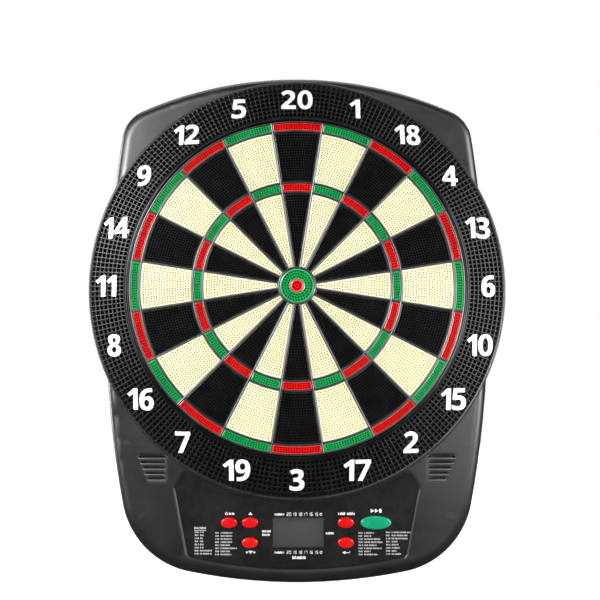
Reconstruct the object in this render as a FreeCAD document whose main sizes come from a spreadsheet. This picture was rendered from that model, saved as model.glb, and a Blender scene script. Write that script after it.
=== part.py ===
import FreeCAD, Part
import math
import os
import Sketcher

# Electronic dartboard for soft-tip darts, 15.5 inch class, hung on a wall.
# Frame: +Z up, the face looks along -Y, X to the right as a player sees it.
# Origin: on the wall plane, straight behind the centre of the bull.
# "Depth" always means the distance forward from the wall plane, so y = -depth.
# A "drop" is a distance below the bull, so z = -drop.

Vector = FreeCAD.Vector
Constraint = Sketcher.Constraint

doc = FreeCAD.newDocument("electronic_dartboard")
sheet = doc.addObject("Spreadsheet::Sheet", "Dims")

# ---------------------------------------------------------------- driving dimensions

# alias, value in mm (half_sector in degrees), note
DIMS = [
    # overall depths
    ("face_depth", 38.0, "front of the spider and of the catch ring lip"),
    ("shell_depth", 22.0, "front face of the moulded shell"),
    ("shell_front_wall", 3.0, "thickness of the shell's front wall"),
    ("shell_side_wall", 2.6, "thickness of the shell's side wall"),
    ("shell_round", 12.0, "radius of the shell's front outer edge"),
    # shell outline
    ("top_arc", 465.0, "radius of the crown"),
    ("corner_top_x", 211.1, "upper corner, before rounding"),
    ("corner_top_z", 208.0, "upper corner, before rounding"),
    ("side_x", 229.3, "half width at the widest place"),
    ("side_drop", 30.0, "drop of the widest place"),
    ("corner_low_x", 191.1, "lower corner, before rounding"),
    ("corner_low_drop", 318.6, "lower corner, before rounding"),
    ("low_arc", 652.0, "radius of the bottom edge"),
    ("round_top", 44.0, "upper corner radius"),
    ("round_low", 100.0, "lower corner radius"),
    ("cover_gap", 3.0, "side wall plus running clearance round the rear cover"),
    # seat under the catch ring
    ("seat_radius", 248.4, "outer radius of the round seat under the catch ring"),
    ("seat_back", 6.0, "rear face of the seat"),
    ("seat_wall", 2.4, "wall of the seat"),
    ("opening_radius", 199.8, "round opening for the target"),
    # catch ring
    ("ring_inner", 199.6, "bore of the catch ring"),
    ("lip_outer", 203.4, "outer edge of the flat lip"),
    ("grid_inner", 204.2, "inner edge of the sloping grid"),
    ("grid_outer", 246.0, "outer edge of the sloping grid"),
    ("grid_top", 36.6, "depth of the grid at its inner edge"),
    ("grid_low", 25.2, "depth of the grid at its outer edge"),
    ("ring_outer", 249.2, "outer radius of the catch ring"),
    ("ring_skin", 2.4, "moulded thickness of the catch ring"),
    ("ring_screw_circle", 225.0, "circle of the catch ring screws"),
    # target rings, at the middle of each web
    ("bull_ring", 21.8, "outer bull to single"),
    ("treble_inner", 112.4, "single to treble"),
    ("treble_outer", 124.3, "treble to single"),
    ("double_inner", 186.8, "single to double"),
    ("rim_inner", 197.3, "inside of the spider rim"),
    ("rim_outer", 199.4, "outside of the spider rim"),
    ("web", 1.4, "thickness of every web of the spider"),
    ("web_back", 24.0, "rear edge of the webs"),
    ("rim_back", 16.7, "rear edge of the spider rim"),
    ("half_sector", 9.0, "half of one sector in degrees"),
    ("lug_half_w", 5.0, "half width of a spider lug"),
    ("lug_thick", 2.0, "thickness of a spider lug"),
    # segments
    ("seg_gap", 1.0, "segment edge to the middle of the web"),
    ("flange_gap", 0.45, "flange edge to the middle of the web"),
    ("flange_step", 0.55, "flange beyond the segment edge"),
    ("seg_front", 37.0, "front face of the segments"),
    ("seg_bevel", 0.5, "bevel round the front of the segments"),
    ("flange_front", 23.6, "front of the retaining flange"),
    ("flange_back", 21.4, "rear of the retaining flange"),
    ("foot_back", 18.0, "end of the switch feet"),
    ("foot_radius", 2.2, "radius of a switch foot"),
    ("double_edge", 197.0, "outer edge of the doubles"),
    ("bull_outer_in", 8.4, "hole of the outer bull"),
    ("bull_inner_edge", 7.8, "edge of the inner bull"),
    ("bull_inner_flange", 9.0, "flange of the inner bull"),
    ("bull_counterbore", 9.6, "counterbore behind the outer bull"),
    ("bull_ledge", 23.8, "depth where that counterbore ends"),
    ("bull_flange_front", 22.4, "front of the inner bull flange"),
    ("bull_flange_thick", 2.0, "thickness of the inner bull flange"),
    ("bull_foot", 15.4, "circle of the outer bull feet"),
    # switch stack
    ("mat_front", 16.7, "front of the rubber mat"),
    ("mat_thick", 1.0, "thickness of the rubber mat"),
    ("film_front_back", 15.46, "rear of the front contact film"),
    ("spacer_back", 15.24, "rear of the spacer film"),
    ("film_rear_back", 15.02, "rear of the rear contact film"),
    ("film_thick", 0.2, "thickness of each film"),
    ("film_radius", 198.8, "radius of mat and films"),
    ("tail_near", 2.0, "edge of a film tail nearest the middle"),
    ("tail_far", 21.0, "edge of a film tail furthest from the middle"),
    ("tail_start_drop", 150.0, "upper end of a film tail, within the disc"),
    ("tail_end_drop", 264.0, "lower end of a film tail"),
    ("backing_radius", 214.0, "radius of the backing board"),
    ("backing_back", 10.0, "rear of the backing board"),
    ("backing_thick", 5.0, "thickness of the backing board"),
    ("board_screw_circle", 209.0, "circle of the backing board screws"),
    ("lug_circle", 207.0, "circle of the spider lug screws"),
    # rear cover
    ("cover_thick", 2.5, "rear cover plate"),
    ("key_x", 203.2, "keyhole centres, half the 406.4 mm stud spacing"),
    ("key_z", 127.0, "keyhole centres above and below the bull"),
    ("key_entry", 4.75, "radius of the keyhole entry"),
    ("key_slot", 2.3, "half width of the keyhole slot"),
    ("key_rise", 10.0, "how far the slot rises above the entry"),
    ("bumper_radius", 6.0, "radius of a wall bumper"),
    ("bumper_high", 1.2, "thickness of a bumper and depth of its pocket"),
    # battery compartment, three AA cells side by side
    ("cell_x", 135.0, "middle of the compartment, left of the bull"),
    ("cell_z", 272.0, "middle of the compartment, below the bull"),
    ("cell_half_w", 23.0, "half width of the compartment"),
    ("cell_half_h", 29.0, "half height of the compartment"),
    ("cell_floor", 17.0, "floor of the compartment"),
    ("cell_pitch", 14.8, "spacing of the cells"),
    ("door_half_w", 25.0, "half width of the battery door"),
    ("door_back", 0.2, "rear of the battery door"),
    ("door_thick", 1.7, "thickness of the battery door"),
    ("door_seat", 2.1, "depth of the door opening"),
    ("hinge_depth", 1.05, "depth of the hinge axis"),
    ("barrel_radius", 0.85, "radius of the hinge barrel"),
    ("pin_radius", 0.6, "radius of the hinge pins"),
    ("pin_reach", 1.6, "how far a hinge pin stands out"),
    # control panel
    ("panel_top_x", 131.5, "upper corner of the recess"),
    ("panel_top_drop", 217.3, "upper corner of the recess"),
    ("panel_side_x", 143.5, "widest corner of the recess"),
    ("panel_side_drop", 237.0, "widest corner of the recess"),
    ("panel_low_x", 127.5, "lower corner of the recess"),
    ("panel_low_drop", 316.0, "lower corner of the recess"),
    ("panel_low_arc", 553.0, "radius of the bottom edge"),
    ("panel_round", 5.0, "corner radius of the recess"),
    ("panel_floor", 20.2, "floor of the recess"),
    ("fascia_thick", 0.8, "thickness of the fascia overlay"),
    ("fascia_gap", 0.25, "clearance round the fascia"),
    ("window_x", 1.4, "middle of the display window"),
    ("window_drop", 288.6, "middle of the display window"),
    ("window_half_w", 29.6, "half width of the window opening"),
    ("window_half_h", 17.0, "half height of the window opening"),
    ("window_gap", 0.25, "clearance round the clear window"),
    # buttons
    ("cap_half_w", 9.3, "half width of a small button"),
    ("cap_half_h", 6.1, "half height of a small button"),
    ("next_half_w", 17.9, "half width of the large button"),
    ("next_half_h", 7.7, "half height of the large button"),
    ("cap_gap", 0.4, "clearance round a button"),
    ("cap_flange", 1.1, "flange of a button beyond its cap"),
    ("cap_top", 24.6, "front of a button"),
    ("cap_base", 17.4, "rear of a button"),
    ("cap_flange_thick", 1.3, "thickness of the button flange"),
    ("cap_round", 1.7, "radius of the front edge of a button"),
    ("row_high", 277.0, "drop of the upper button row"),
    ("row_low", 300.0, "drop of the lower button row"),
    # electronics
    ("pcb_back", 12.8, "rear of the circuit board"),
    ("pcb_thick", 1.6, "thickness of the circuit board"),
    ("pcb_left", 101.0, "left edge of the circuit board"),
    ("pcb_right", 121.0, "right edge of the circuit board"),
    ("pcb_top_drop", 256.0, "upper edge of the circuit board"),
    ("pcb_low_drop", 321.0, "lower edge of the circuit board"),
    ("glass_back", 16.4, "rear of the display glass"),
    ("glass_thick", 2.5, "thickness of the display glass"),
    ("keypad_thick", 0.7, "thickness of the keypad sheet"),
    ("dome_top", 16.1, "front of a keypad dome"),
    ("dome_radius", 4.4, "radius of a keypad dome"),
    # loudspeaker
    ("speaker_x", 170.5, "middle of the loudspeaker"),
    ("speaker_drop", 214.0, "middle of the loudspeaker"),
    ("speaker_radius", 18.0, "radius of the loudspeaker"),
    # vents
    ("vent_inner", 154.8, "inner end of the vent slots"),
    ("vent_outer", 186.3, "outer end of the top slot"),
    ("vent_step", 2.7, "how much shorter each slot is"),
    ("vent_drop", 201.0, "drop of the top slot"),
    ("vent_pitch", 6.3, "slot pitch"),
    ("vent_high", 2.2, "slot height"),
    # fasteners
    ("screw_shank", 1.3, "radius of a pilot hole, 0.1 more than the screw's shank"),
    ("screw_head", 3.2, "radius of a screw head"),
    ("loose_hole", 1.7, "radius of the screw holes in lugs and backing board"),
    # numerals
    ("numeral_circle", 226.8, "circle of the numeral centres"),
    ("numeral_high", 25.4, "height of a numeral"),
    ("numeral_thick", 1.2, "thickness of a numeral"),
]

for row, (alias, value, note) in enumerate(DIMS, start=1):
    sheet.set(f"A{row}", alias)
    sheet.set(f"B{row}", repr(value))
    sheet.set(f"C{row}", note)
    sheet.setAlias(f"B{row}", alias)
doc.recompute()
dim = {alias: value for alias, value, note in DIMS}

# ---------------------------------------------------------------- sketch helpers
# Every size or place below is a number or an expression on the Dims sheet.


def evaluate(expression):
    """The number an expression comes to."""
    value = sheet.evalExpression(str(expression))
    return float(getattr(value, "Value", value))


def origin_feature(body, role):
    return next(f for f in body.Origin.OriginFeatures if f.Role == role)


def new_body(label):
    body = doc.addObject("PartDesign::Body", label)
    body.AllowCompound = True
    return body


def new_sketch(body, name, depth, shapes, plane="XZ_Plane"):
    """A sketch of (draw function, arguments...) shapes, offset from a plane of the body.
    On XZ local x is X, local y is Z, and the offset is the depth."""
    sketch = body.newObject("Sketcher::SketchObject", name)
    sketch.AttachmentSupport = [(origin_feature(body, plane), "")]
    sketch.MapMode = "FlatFace"
    sketch.setExpression("AttachmentOffset.Base.z", str(depth))
    for draw, *args in shapes:
        draw(sketch, *args)
    return sketch


def bind(sketch, kind, *args):
    """A dimension held by an expression, which is the last argument."""
    *geometry, expression = args
    index = sketch.addConstraint(Constraint(kind, *geometry, evaluate(expression)))
    sketch.setExpression(f"Constraints[{index}]", str(expression))


def place(sketch, geo, pos, x, z):
    """Holds a point at x, z. None puts it on that coordinate's zero line."""
    if x is None and z is None:
        sketch.addConstraint(Constraint("Coincident", geo, pos, -1, 1))
        return
    if x is None:
        sketch.addConstraint(Constraint("PointOnObject", geo, pos, -2))
    else:
        bind(sketch, "DistanceX", -1, 1, geo, pos, x)
    if z is None:
        sketch.addConstraint(Constraint("PointOnObject", geo, pos, -1))
    else:
        bind(sketch, "DistanceY", -1, 1, geo, pos, z)


def join(sketch, *args):
    sketch.addConstraint(Constraint("Coincident", *args))


def circle(sketch, x, z, radius):
    centre = Vector(0 if x is None else evaluate(x), 0 if z is None else evaluate(z), 0)
    geo = sketch.addGeometry(Part.Circle(centre, Vector(0, 0, 1), evaluate(radius)))
    place(sketch, geo, 3, x, z)
    bind(sketch, "Radius", geo, radius)


def bull_circle(sketch, radius):
    """A circle about the bull."""
    circle(sketch, None, None, radius)


def add_closed_lines(sketch, corners):
    count = len(corners)
    lines = [
        sketch.addGeometry(Part.LineSegment(corners[k], corners[(k + 1) % count]))
        for k in range(count)
    ]
    for k in range(count):
        join(sketch, lines[k], 2, lines[(k + 1) % count], 1)
    return lines


def polygon(sketch, points):
    """A closed polygon whose corners are held by expressions."""
    lines = add_closed_lines(sketch, [Vector(evaluate(x), evaluate(y), 0) for x, y in points])
    for line, (x, y) in zip(lines, points):
        place(sketch, line, 1, x, y)


def rect(sketch, x_low, x_high, z_low, z_high):
    left, right, low, high = [evaluate(side) for side in (x_low, x_high, z_low, z_high)]
    corners = [(left, low), (right, low), (right, high), (left, high)]
    lines = add_closed_lines(sketch, [Vector(x, z, 0) for x, z in corners])
    for line, kind in zip(lines, ("Horizontal", "Vertical", "Horizontal", "Vertical")):
        sketch.addConstraint(Constraint(kind, line))
    place(sketch, lines[0], 1, x_low, z_low)
    place(sketch, lines[2], 1, x_high, z_high)


def centred_rect(sketch, x, z, half_w, half_h):
    rect(sketch, f"{x}-({half_w})", f"{x}+({half_w})", f"{z}-({half_h})", f"{z}+({half_h})")


def ellipse(sketch, x, z, half_w, half_h):
    """An ellipse with its long axis level."""
    mid_x, mid_z = evaluate(x), evaluate(z)
    right = Vector(mid_x + evaluate(half_w), mid_z, 0)
    top = Vector(mid_x, mid_z + evaluate(half_h), 0)
    geo = sketch.addGeometry(Part.Ellipse(right, top, Vector(mid_x, mid_z, 0)))
    sketch.exposeInternalGeometry(geo)
    place(sketch, geo, 3, x, z)
    # the exposed axes follow the ellipse: first the long one, then the short one
    bind(sketch, "Distance", geo + 1, f"2*({half_w})")
    bind(sketch, "Distance", geo + 2, f"2*({half_h})")
    sketch.addConstraint(Constraint("Horizontal", geo + 1))


def add_arc(sketch, start, end, centre):
    """An arc counterclockwise from start to end."""
    radius = math.hypot(start[0] - centre[0], start[1] - centre[1])
    first = math.atan2(start[1] - centre[1], start[0] - centre[0])
    last = math.atan2(end[1] - centre[1], end[0] - centre[0])
    if last <= first:
        last += 2 * math.pi
    full = Part.Circle(Vector(centre[0], centre[1], 0), Vector(0, 0, 1), radius)
    return sketch.addGeometry(Part.ArcOfCircle(full, first, last))


def sector(sketch, r_in, r_out, gap):
    """A ring sector about the upright axis, its sides parallel to the webs at gap from
    their middle."""
    angle = math.radians(dim["half_sector"])
    offset = evaluate(gap)
    arcs, ends = [], []
    for radius in (r_in, r_out):
        along = math.sqrt(evaluate(radius) ** 2 - offset**2)
        x = along * math.sin(angle) - offset * math.cos(angle)
        z = along * math.cos(angle) + offset * math.sin(angle)
        ends.append((x, z))
        arcs.append(add_arc(sketch, (x, z), (-x, z), (0, 0)))
    sides = [
        sketch.addGeometry(
            Part.LineSegment(*[Vector(sign * x, z, 0) for x, z in ends])
        )
        for sign in (1, -1)
    ]
    for arc in arcs:
        join(sketch, arc, 3, -1, 1)
    for arc_end, side in enumerate(sides, start=1):
        join(sketch, arcs[0], arc_end, side, 1)
        join(sketch, arcs[1], arc_end, side, 2)
    bind(sketch, "Radius", arcs[0], r_in)
    bind(sketch, "Radius", arcs[1], r_out)
    for arc, radius in zip(arcs, (r_in, r_out)):
        end_x = (
            f"sqrt(({radius})^2-({gap})^2)*sin(Dims.half_sector*1deg)"
            f"-({gap})*cos(Dims.half_sector*1deg)"
        )
        bind(sketch, "DistanceX", -1, 1, arc, 1, end_x)
        sketch.addConstraint(Constraint("Symmetric", arc, 1, arc, 2, -2))


def shell_outline(sketch, inset):
    """The outline of the shell, moved inward by inset: a crown, two bowed sides and a
    bottom arc."""
    shift = evaluate(inset)
    upper = (dim["corner_top_x"] - 0.91 * shift, dim["corner_top_z"] - 0.658 * shift)
    widest = (dim["side_x"] - shift, -dim["side_drop"])
    lower = (dim["corner_low_x"] - 0.82 * shift, -dim["corner_low_drop"] + 0.796 * shift)
    crown_radius, bottom_radius = dim["top_arc"] - shift, dim["low_arc"] - shift

    def side_centre(corner):
        # on the level of the widest point, so that both side arcs are upright there
        rise = corner[1] - widest[1]
        inward = widest[0] - corner[0]
        return (widest[0] - (rise**2 + inward**2) / (2 * inward), widest[1])

    def mirror(point):
        return (-point[0], point[1])

    upper_centre, lower_centre = side_centre(upper), side_centre(lower)
    crown_centre = (0.0, upper[1] - math.sqrt(crown_radius**2 - upper[0] ** 2))
    bottom_centre = (0.0, lower[1] + math.sqrt(bottom_radius**2 - lower[0] ** 2))
    arcs = [
        add_arc(sketch, upper, mirror(upper), crown_centre),
        add_arc(sketch, mirror(upper), mirror(widest), mirror(upper_centre)),
        add_arc(sketch, mirror(widest), mirror(lower), mirror(lower_centre)),
        add_arc(sketch, mirror(lower), lower, bottom_centre),
        add_arc(sketch, lower, widest, lower_centre),
        add_arc(sketch, widest, upper, upper_centre),
    ]
    crown, left_upper, left_lower, bottom, right_lower, right_upper = arcs
    for k in range(6):
        join(sketch, arcs[k], 2, arcs[(k + 1) % 6], 1)
    sketch.addConstraint(Constraint("Symmetric", crown, 1, crown, 2, -2))
    sketch.addConstraint(Constraint("Symmetric", right_lower, 2, left_upper, 2, -2))
    sketch.addConstraint(Constraint("Symmetric", bottom, 2, bottom, 1, -2))
    sketch.addConstraint(Constraint("PointOnObject", crown, 3, -2))
    sketch.addConstraint(Constraint("PointOnObject", bottom, 3, -2))
    for arc, level in (
        (left_upper, left_upper),
        (left_lower, left_upper),
        (right_lower, right_lower),
        (right_upper, right_lower),
    ):
        sketch.addConstraint(Constraint("Horizontal", arc, 3, level, 2))
    bind(sketch, "Radius", crown, f"Dims.top_arc-({inset})")
    bind(sketch, "Radius", bottom, f"Dims.low_arc-({inset})")
    for arc, end, x, z in (
        (crown, 1, f"Dims.corner_top_x-0.91*({inset})", f"Dims.corner_top_z-0.658*({inset})"),
        (right_lower, 2, f"Dims.side_x-({inset})", "-Dims.side_drop"),
        (bottom, 2, f"Dims.corner_low_x-0.82*({inset})", f"-Dims.corner_low_drop+0.796*({inset})"),
    ):
        place(sketch, arc, end, x, z)


def panel_outline(sketch, inset):
    """The outline of the control panel recess, moved inward by inset. Its concave top
    edge is an arc about the bull."""
    # x and z of the upper, widest and lower right corners
    corners = [
        (f"Dims.panel_top_x-0.335*({inset})", f"-Dims.panel_top_drop-1.372*({inset})"),
        (f"Dims.panel_side_x-1.058*({inset})", f"-Dims.panel_side_drop-0.186*({inset})"),
        (f"Dims.panel_low_x-0.852*({inset})", f"-Dims.panel_low_drop+0.83*({inset})"),
    ]
    upper, widest, lower = [(evaluate(x), evaluate(z)) for x, z in corners]
    low_radius = dim["panel_low_arc"] - evaluate(inset)
    low_centre = (0, lower[1] + math.sqrt(low_radius**2 - lower[0] ** 2))
    top = add_arc(sketch, (-upper[0], upper[1]), upper, (0, 0))
    low = add_arc(sketch, (-lower[0], lower[1]), lower, low_centre)
    shoulders = []
    for sign, end in ((1, 2), (-1, 1)):
        points = [Vector(sign * x, z, 0) for x, z in (upper, widest, lower)]
        shoulder = sketch.addGeometry(Part.LineSegment(points[0], points[1]))
        flank = sketch.addGeometry(Part.LineSegment(points[1], points[2]))
        join(sketch, top, end, shoulder, 1)
        join(sketch, shoulder, 2, flank, 1)
        join(sketch, flank, 2, low, end)
        shoulders.append(shoulder)
    join(sketch, top, 3, -1, 1)
    sketch.addConstraint(Constraint("PointOnObject", low, 3, -2))
    sketch.addConstraint(Constraint("Symmetric", top, 1, top, 2, -2))
    sketch.addConstraint(Constraint("Symmetric", shoulders[0], 2, shoulders[1], 2, -2))
    sketch.addConstraint(Constraint("Symmetric", low, 1, low, 2, -2))
    bind(sketch, "Radius", low, f"Dims.panel_low_arc-({inset})")
    for geo, (x, z) in zip((top, shoulders[0], low), corners):
        place(sketch, geo, 2, x, z)


# ---------------------------------------------------------------- body features


def pad(body, name, depth, length, *shapes, plane="XZ_Plane"):
    """Pads shapes forward from a depth; on the YZ plane, to the right from an x."""
    profile = new_sketch(body, name + "_sketch", depth, shapes, plane)
    feature = body.newObject("PartDesign::Pad", name)
    feature.Profile = profile
    feature.setExpression("Length", str(length))
    profile.Visibility = False
    doc.recompute()
    return feature


def pocket(body, name, depth, length, *shapes):
    """Cuts shapes forward from a depth. A cut that takes nothing away is an error."""
    before = body.Shape.Volume
    profile = new_sketch(body, name + "_sketch", depth, shapes)
    feature = body.newObject("PartDesign::Pocket", name)
    feature.Profile = profile
    feature.Reversed = True
    feature.setExpression("Length", str(length))
    doc.recompute()
    if not before - body.Shape.Volume > 1e-3:
        raise RuntimeError(f"{body.Label} {name} cuts nothing")
    return feature


def pattern(body, originals, count, name):
    """Repeats features round the bull."""
    feature = body.newObject("PartDesign::PolarPattern", name)
    feature.Originals = originals
    feature.Axis = (origin_feature(body, "Y_Axis"), [""])
    feature.Angle = 360
    feature.Occurrences = count
    body.Tip = feature
    doc.recompute()


def edges_at(body, depth):
    """Names of the edges that lie flat at a depth."""
    y = -evaluate(depth)
    names = []
    for k, edge in enumerate(body.Tip.Shape.Edges, start=1):
        bounds = edge.BoundBox
        if abs(bounds.YMin - y) < 1e-4 and abs(bounds.YMax - y) < 1e-4:
            names.append(f"Edge{k}")
    return names


def depthwise_edges(body, test):
    """Names of the straight edges that run along the depth and pass test(x, z)."""
    names = []
    for k, edge in enumerate(body.Tip.Shape.Edges, start=1):
        bounds = edge.BoundBox
        straight = bounds.XLength < 1e-4 and bounds.ZLength < 1e-4 and bounds.YLength > 0.1
        if straight and test(bounds.XMin, bounds.ZMin):
            names.append(f"Edge{k}")
    return names


def dress(body, kind, size_property, name, edges, size):
    base = body.Tip
    feature = body.newObject("PartDesign::" + kind, name)
    feature.Base = (base, edges)
    feature.setExpression(size_property, str(size))
    doc.recompute()


def fillet(body, name, edges, radius):
    dress(body, "Fillet", "Radius", name, edges, radius)


def chamfer(body, name, edges, size):
    dress(body, "Chamfer", "Size", name, edges, size)


def rounded_outline(body, inset, length):
    """The shell outline as a slab on the wall plane with its four corners rounded."""
    pad(body, body.Name + "_slab", 0, length, (shell_outline, inset))
    top = depthwise_edges(body, lambda x, z: z > 100)
    fillet(body, body.Name + "_top_corners", top, f"Dims.round_top-({inset})")
    corner_x = evaluate(f"Dims.corner_low_x-0.82*({inset})")
    low = depthwise_edges(body, lambda x, z: z < -250 and abs(abs(x) - corner_x) < 0.5)
    fillet(body, body.Name + "_low_corners", low, f"Dims.round_low-({inset})")


def round_panel_corners(body, name, radius):
    fillet(body, name, depthwise_edges(body, lambda x, z: z < -210), radius)


# ---------------------------------------------------------------- plain solids


def solid(kind, label, x, y, z, along_depth=False, **sizes):
    """A Part primitive, its axis forward if along_depth, otherwise up."""
    made = doc.addObject("Part::" + kind, label)
    if along_depth:
        rotation = FreeCAD.Rotation(Vector(1, 0, 0), 90)
        made.Placement = FreeCAD.Placement(Vector(0, 0, 0), rotation)
    for name, size in sizes.items():
        made.setExpression(name, str(size))
    for axis, value in zip("xyz", (x, y, z)):
        made.setExpression("Placement.Base." + axis, str(value))
    return made


def cylinder(label, x, z, depth, radius, height):
    """A cylinder from depth forward by height."""
    return solid("Cylinder", label, x, f"-({depth})", z, True, Radius=radius, Height=height)


def cylinders(label, points, depth, radius, height):
    return [
        cylinder(f"{label}_{k}", x, z, depth, radius, height)
        for k, (x, z) in enumerate(points)
    ]


def box(label, x_low, x_high, depth, thick, z_low, z_high):
    """A box from depth forward by thick."""
    return solid(
        "Box", label, x_low, f"-({depth})-({thick})", z_low,
        Length=f"({x_high})-({x_low})", Width=thick, Height=f"({z_high})-({z_low})",
    )


def fuse(label, shapes):
    fusion = doc.addObject("Part::MultiFuse", label)
    fusion.Shapes = shapes
    fusion.Refine = True
    return fusion


def group(label, shapes):
    compound = doc.addObject("Part::Compound", label)
    compound.Links = shapes
    return compound


def cut(label, base, tool):
    difference = doc.addObject("Part::Cut", label)
    difference.Base = base
    difference.Tool = tool
    return difference


def shape_feature(label, shapes):
    feature = doc.addObject("Part::Feature", label)
    feature.Shape = Part.makeCompound(shapes)
    return feature


def turn(degrees):
    """A placement turned clockwise about the bull, as the player sees it."""
    return FreeCAD.Placement(Vector(0, 0, 0), FreeCAD.Rotation(Vector(0, 1, 0), degrees))


# ---------------------------------------------------------------- shared places

ORDER = [20, 1, 18, 4, 13, 6, 10, 15, 2, 17, 3, 19, 7, 16, 8, 11, 14, 9, 12, 5]
SECTOR = 2 * dim["half_sector"]

SHELL_INSIDE = "Dims.shell_depth-Dims.shell_front_wall"
PCB_FRONT = "Dims.pcb_back+Dims.pcb_thick"
CELL_TOP = "-Dims.cell_z+Dims.cell_half_h"
CELL_LOW = "-Dims.cell_z-Dims.cell_half_h"

# label, x, z, size of each button
BUTTONS = [
    ("button_power", -79.5, "-Dims.row_high", "cap"),
    ("button_up", -55, "-Dims.row_high", "cap"),
    ("button_down", -55, "-Dims.row_low", "cap"),
    ("button_select", 57, "-Dims.row_high", "cap"),
    ("button_enter", 57, "-Dims.row_low", "cap"),
    ("button_next", 92, "-Dims.row_high", "next"),
]


def circle_points(radius, first, count):
    """x and z of evenly spaced points, clockwise from an angle off the top in degrees."""
    angles = [first + 360 / count * k for k in range(count)]
    return [(f"Dims.{radius}*sin({a:g}deg)", f"Dims.{radius}*cos({a:g}deg)") for a in angles]


# x and z of each fastener
CASE_SCREWS = [
    (side * x, z)
    for x, z in (
        (70, 234), (185, 188), (214, 62), (214, -62), (200, -188), (179, -272), (130, -318)
    )
    for side in (1, -1)
]
BOARD_SCREWS = circle_points("board_screw_circle", 22.5, 8)
LUG_SCREWS = circle_points("lug_circle", dim["half_sector"], 10)
RING_SCREWS = circle_points("ring_screw_circle", 0, 10)
PCB_SCREWS = [
    (-95, -261.5), (-95, -316), (-41, -261.5), (44, -261.5), (115, -261.5), (115, -316)
]
CLAMP_SCREWS = [(-26, -261.2), (26, -261.2)]
BUMPERS = [(150, 212), (-150, 212), (60, -322), (-60, -322)]

# ---------------------------------------------------------------- segments

# inner and outer edge of each face
INNER_SINGLE = ("Dims.bull_ring+Dims.seg_gap", "Dims.treble_inner-Dims.seg_gap")
TREBLE = ("Dims.treble_inner+Dims.seg_gap", "Dims.treble_outer-Dims.seg_gap")
OUTER_SINGLE = ("Dims.treble_outer+Dims.seg_gap", "Dims.double_inner-Dims.seg_gap")
DOUBLE = ("Dims.double_inner+Dims.seg_gap", "Dims.double_edge")

# x and z of the feet; a foot with an x has a mirrored twin
INNER_SINGLE_FEET = [(None, 50), (6, 80), (9, 103)]
OUTER_SINGLE_FEET = [(10, 133), (None, 156), (16, 177)]
TREBLE_FEET = [(11, 117.5)]
DOUBLE_FEET = [(20, 190.8)]
OUTER_BULL_FEET = [(None, "Dims.bull_foot"), (None, "-Dims.bull_foot"), ("Dims.bull_foot", None)]


def foot_circles(feet):
    shapes = []
    for x, z in feet:
        shapes.append((circle, x, z, "Dims.foot_radius"))
        if x is not None:
            shapes.append((circle, f"-({x})", z, "Dims.foot_radius"))
    return shapes


def segment(body, name, edges, feet, flange_edge=None):
    """One scoring segment: face block, retaining flange behind the webs, and switch feet."""
    r_in, r_out = edges
    flange_edge = flange_edge or r_out + "+Dims.flange_step"
    return [
        pad(body, name + "_block", "Dims.flange_front", "Dims.seg_front-Dims.flange_front",
            (sector, r_in, r_out, "Dims.seg_gap")),
        pad(body, name + "_flange", "Dims.flange_back", "Dims.flange_front-Dims.flange_back",
            (sector, r_in + "-Dims.flange_step", flange_edge, "Dims.flange_gap")),
        pad(body, name + "_feet", "Dims.foot_back", "Dims.flange_back-Dims.foot_back",
            *foot_circles(feet)),
    ]


def bevel_face(body):
    chamfer(body, body.Name + "_bevel", edges_at(body, "Dims.seg_front"), "Dims.seg_bevel")


def single(index, score):
    label = f"single_{score:02d}"
    body = new_body(label)
    segment(body, label + "_inner", INNER_SINGLE, INNER_SINGLE_FEET)
    segment(body, label + "_outer", OUTER_SINGLE, OUTER_SINGLE_FEET)
    bevel_face(body)
    body.Placement = turn(SECTOR * index)
    return body


def colour_ring(label, edges, feet, start, flange_edge=None):
    """The ten trebles or doubles of one colour."""
    body = new_body(label)
    made = segment(body, label, edges, feet, flange_edge)
    pattern(body, made, 10, label + "_ten")
    bevel_face(body)
    body.Placement = turn(start)
    return body


def outer_bull():
    body = new_body("outer_bull")
    face_edge = "Dims.bull_ring-Dims.seg_gap"
    pad(body, "outer_bull_block", "Dims.bull_ledge", "Dims.seg_front-Dims.bull_ledge",
        (bull_circle, face_edge), (bull_circle, "Dims.bull_outer_in"))
    pad(body, "outer_bull_flange", "Dims.flange_back", "Dims.flange_front-Dims.flange_back",
        (bull_circle, "Dims.bull_ring-Dims.flange_gap"), (bull_circle, "Dims.bull_counterbore"))
    pad(body, "outer_bull_neck", "Dims.flange_front", "Dims.bull_ledge-Dims.flange_front",
        (bull_circle, face_edge), (bull_circle, "Dims.bull_counterbore"))
    pad(body, "outer_bull_feet", "Dims.foot_back", "Dims.flange_back-Dims.foot_back",
        *foot_circles(OUTER_BULL_FEET))
    bevel_face(body)
    return body


def inner_bull():
    body = new_body("inner_bull")
    flange_back = "Dims.bull_flange_front-Dims.bull_flange_thick"
    pad(body, "inner_bull_block", "Dims.bull_flange_front",
        "Dims.seg_front-Dims.bull_flange_front", (bull_circle, "Dims.bull_inner_edge"))
    pad(body, "inner_bull_flange_disc", flange_back, "Dims.bull_flange_thick",
        (bull_circle, "Dims.bull_inner_flange"))
    pad(body, "inner_bull_foot", "Dims.foot_back", flange_back + "-Dims.foot_back",
        (bull_circle, "Dims.foot_radius"))
    bevel_face(body)
    return body


# ---------------------------------------------------------------- spider


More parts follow.
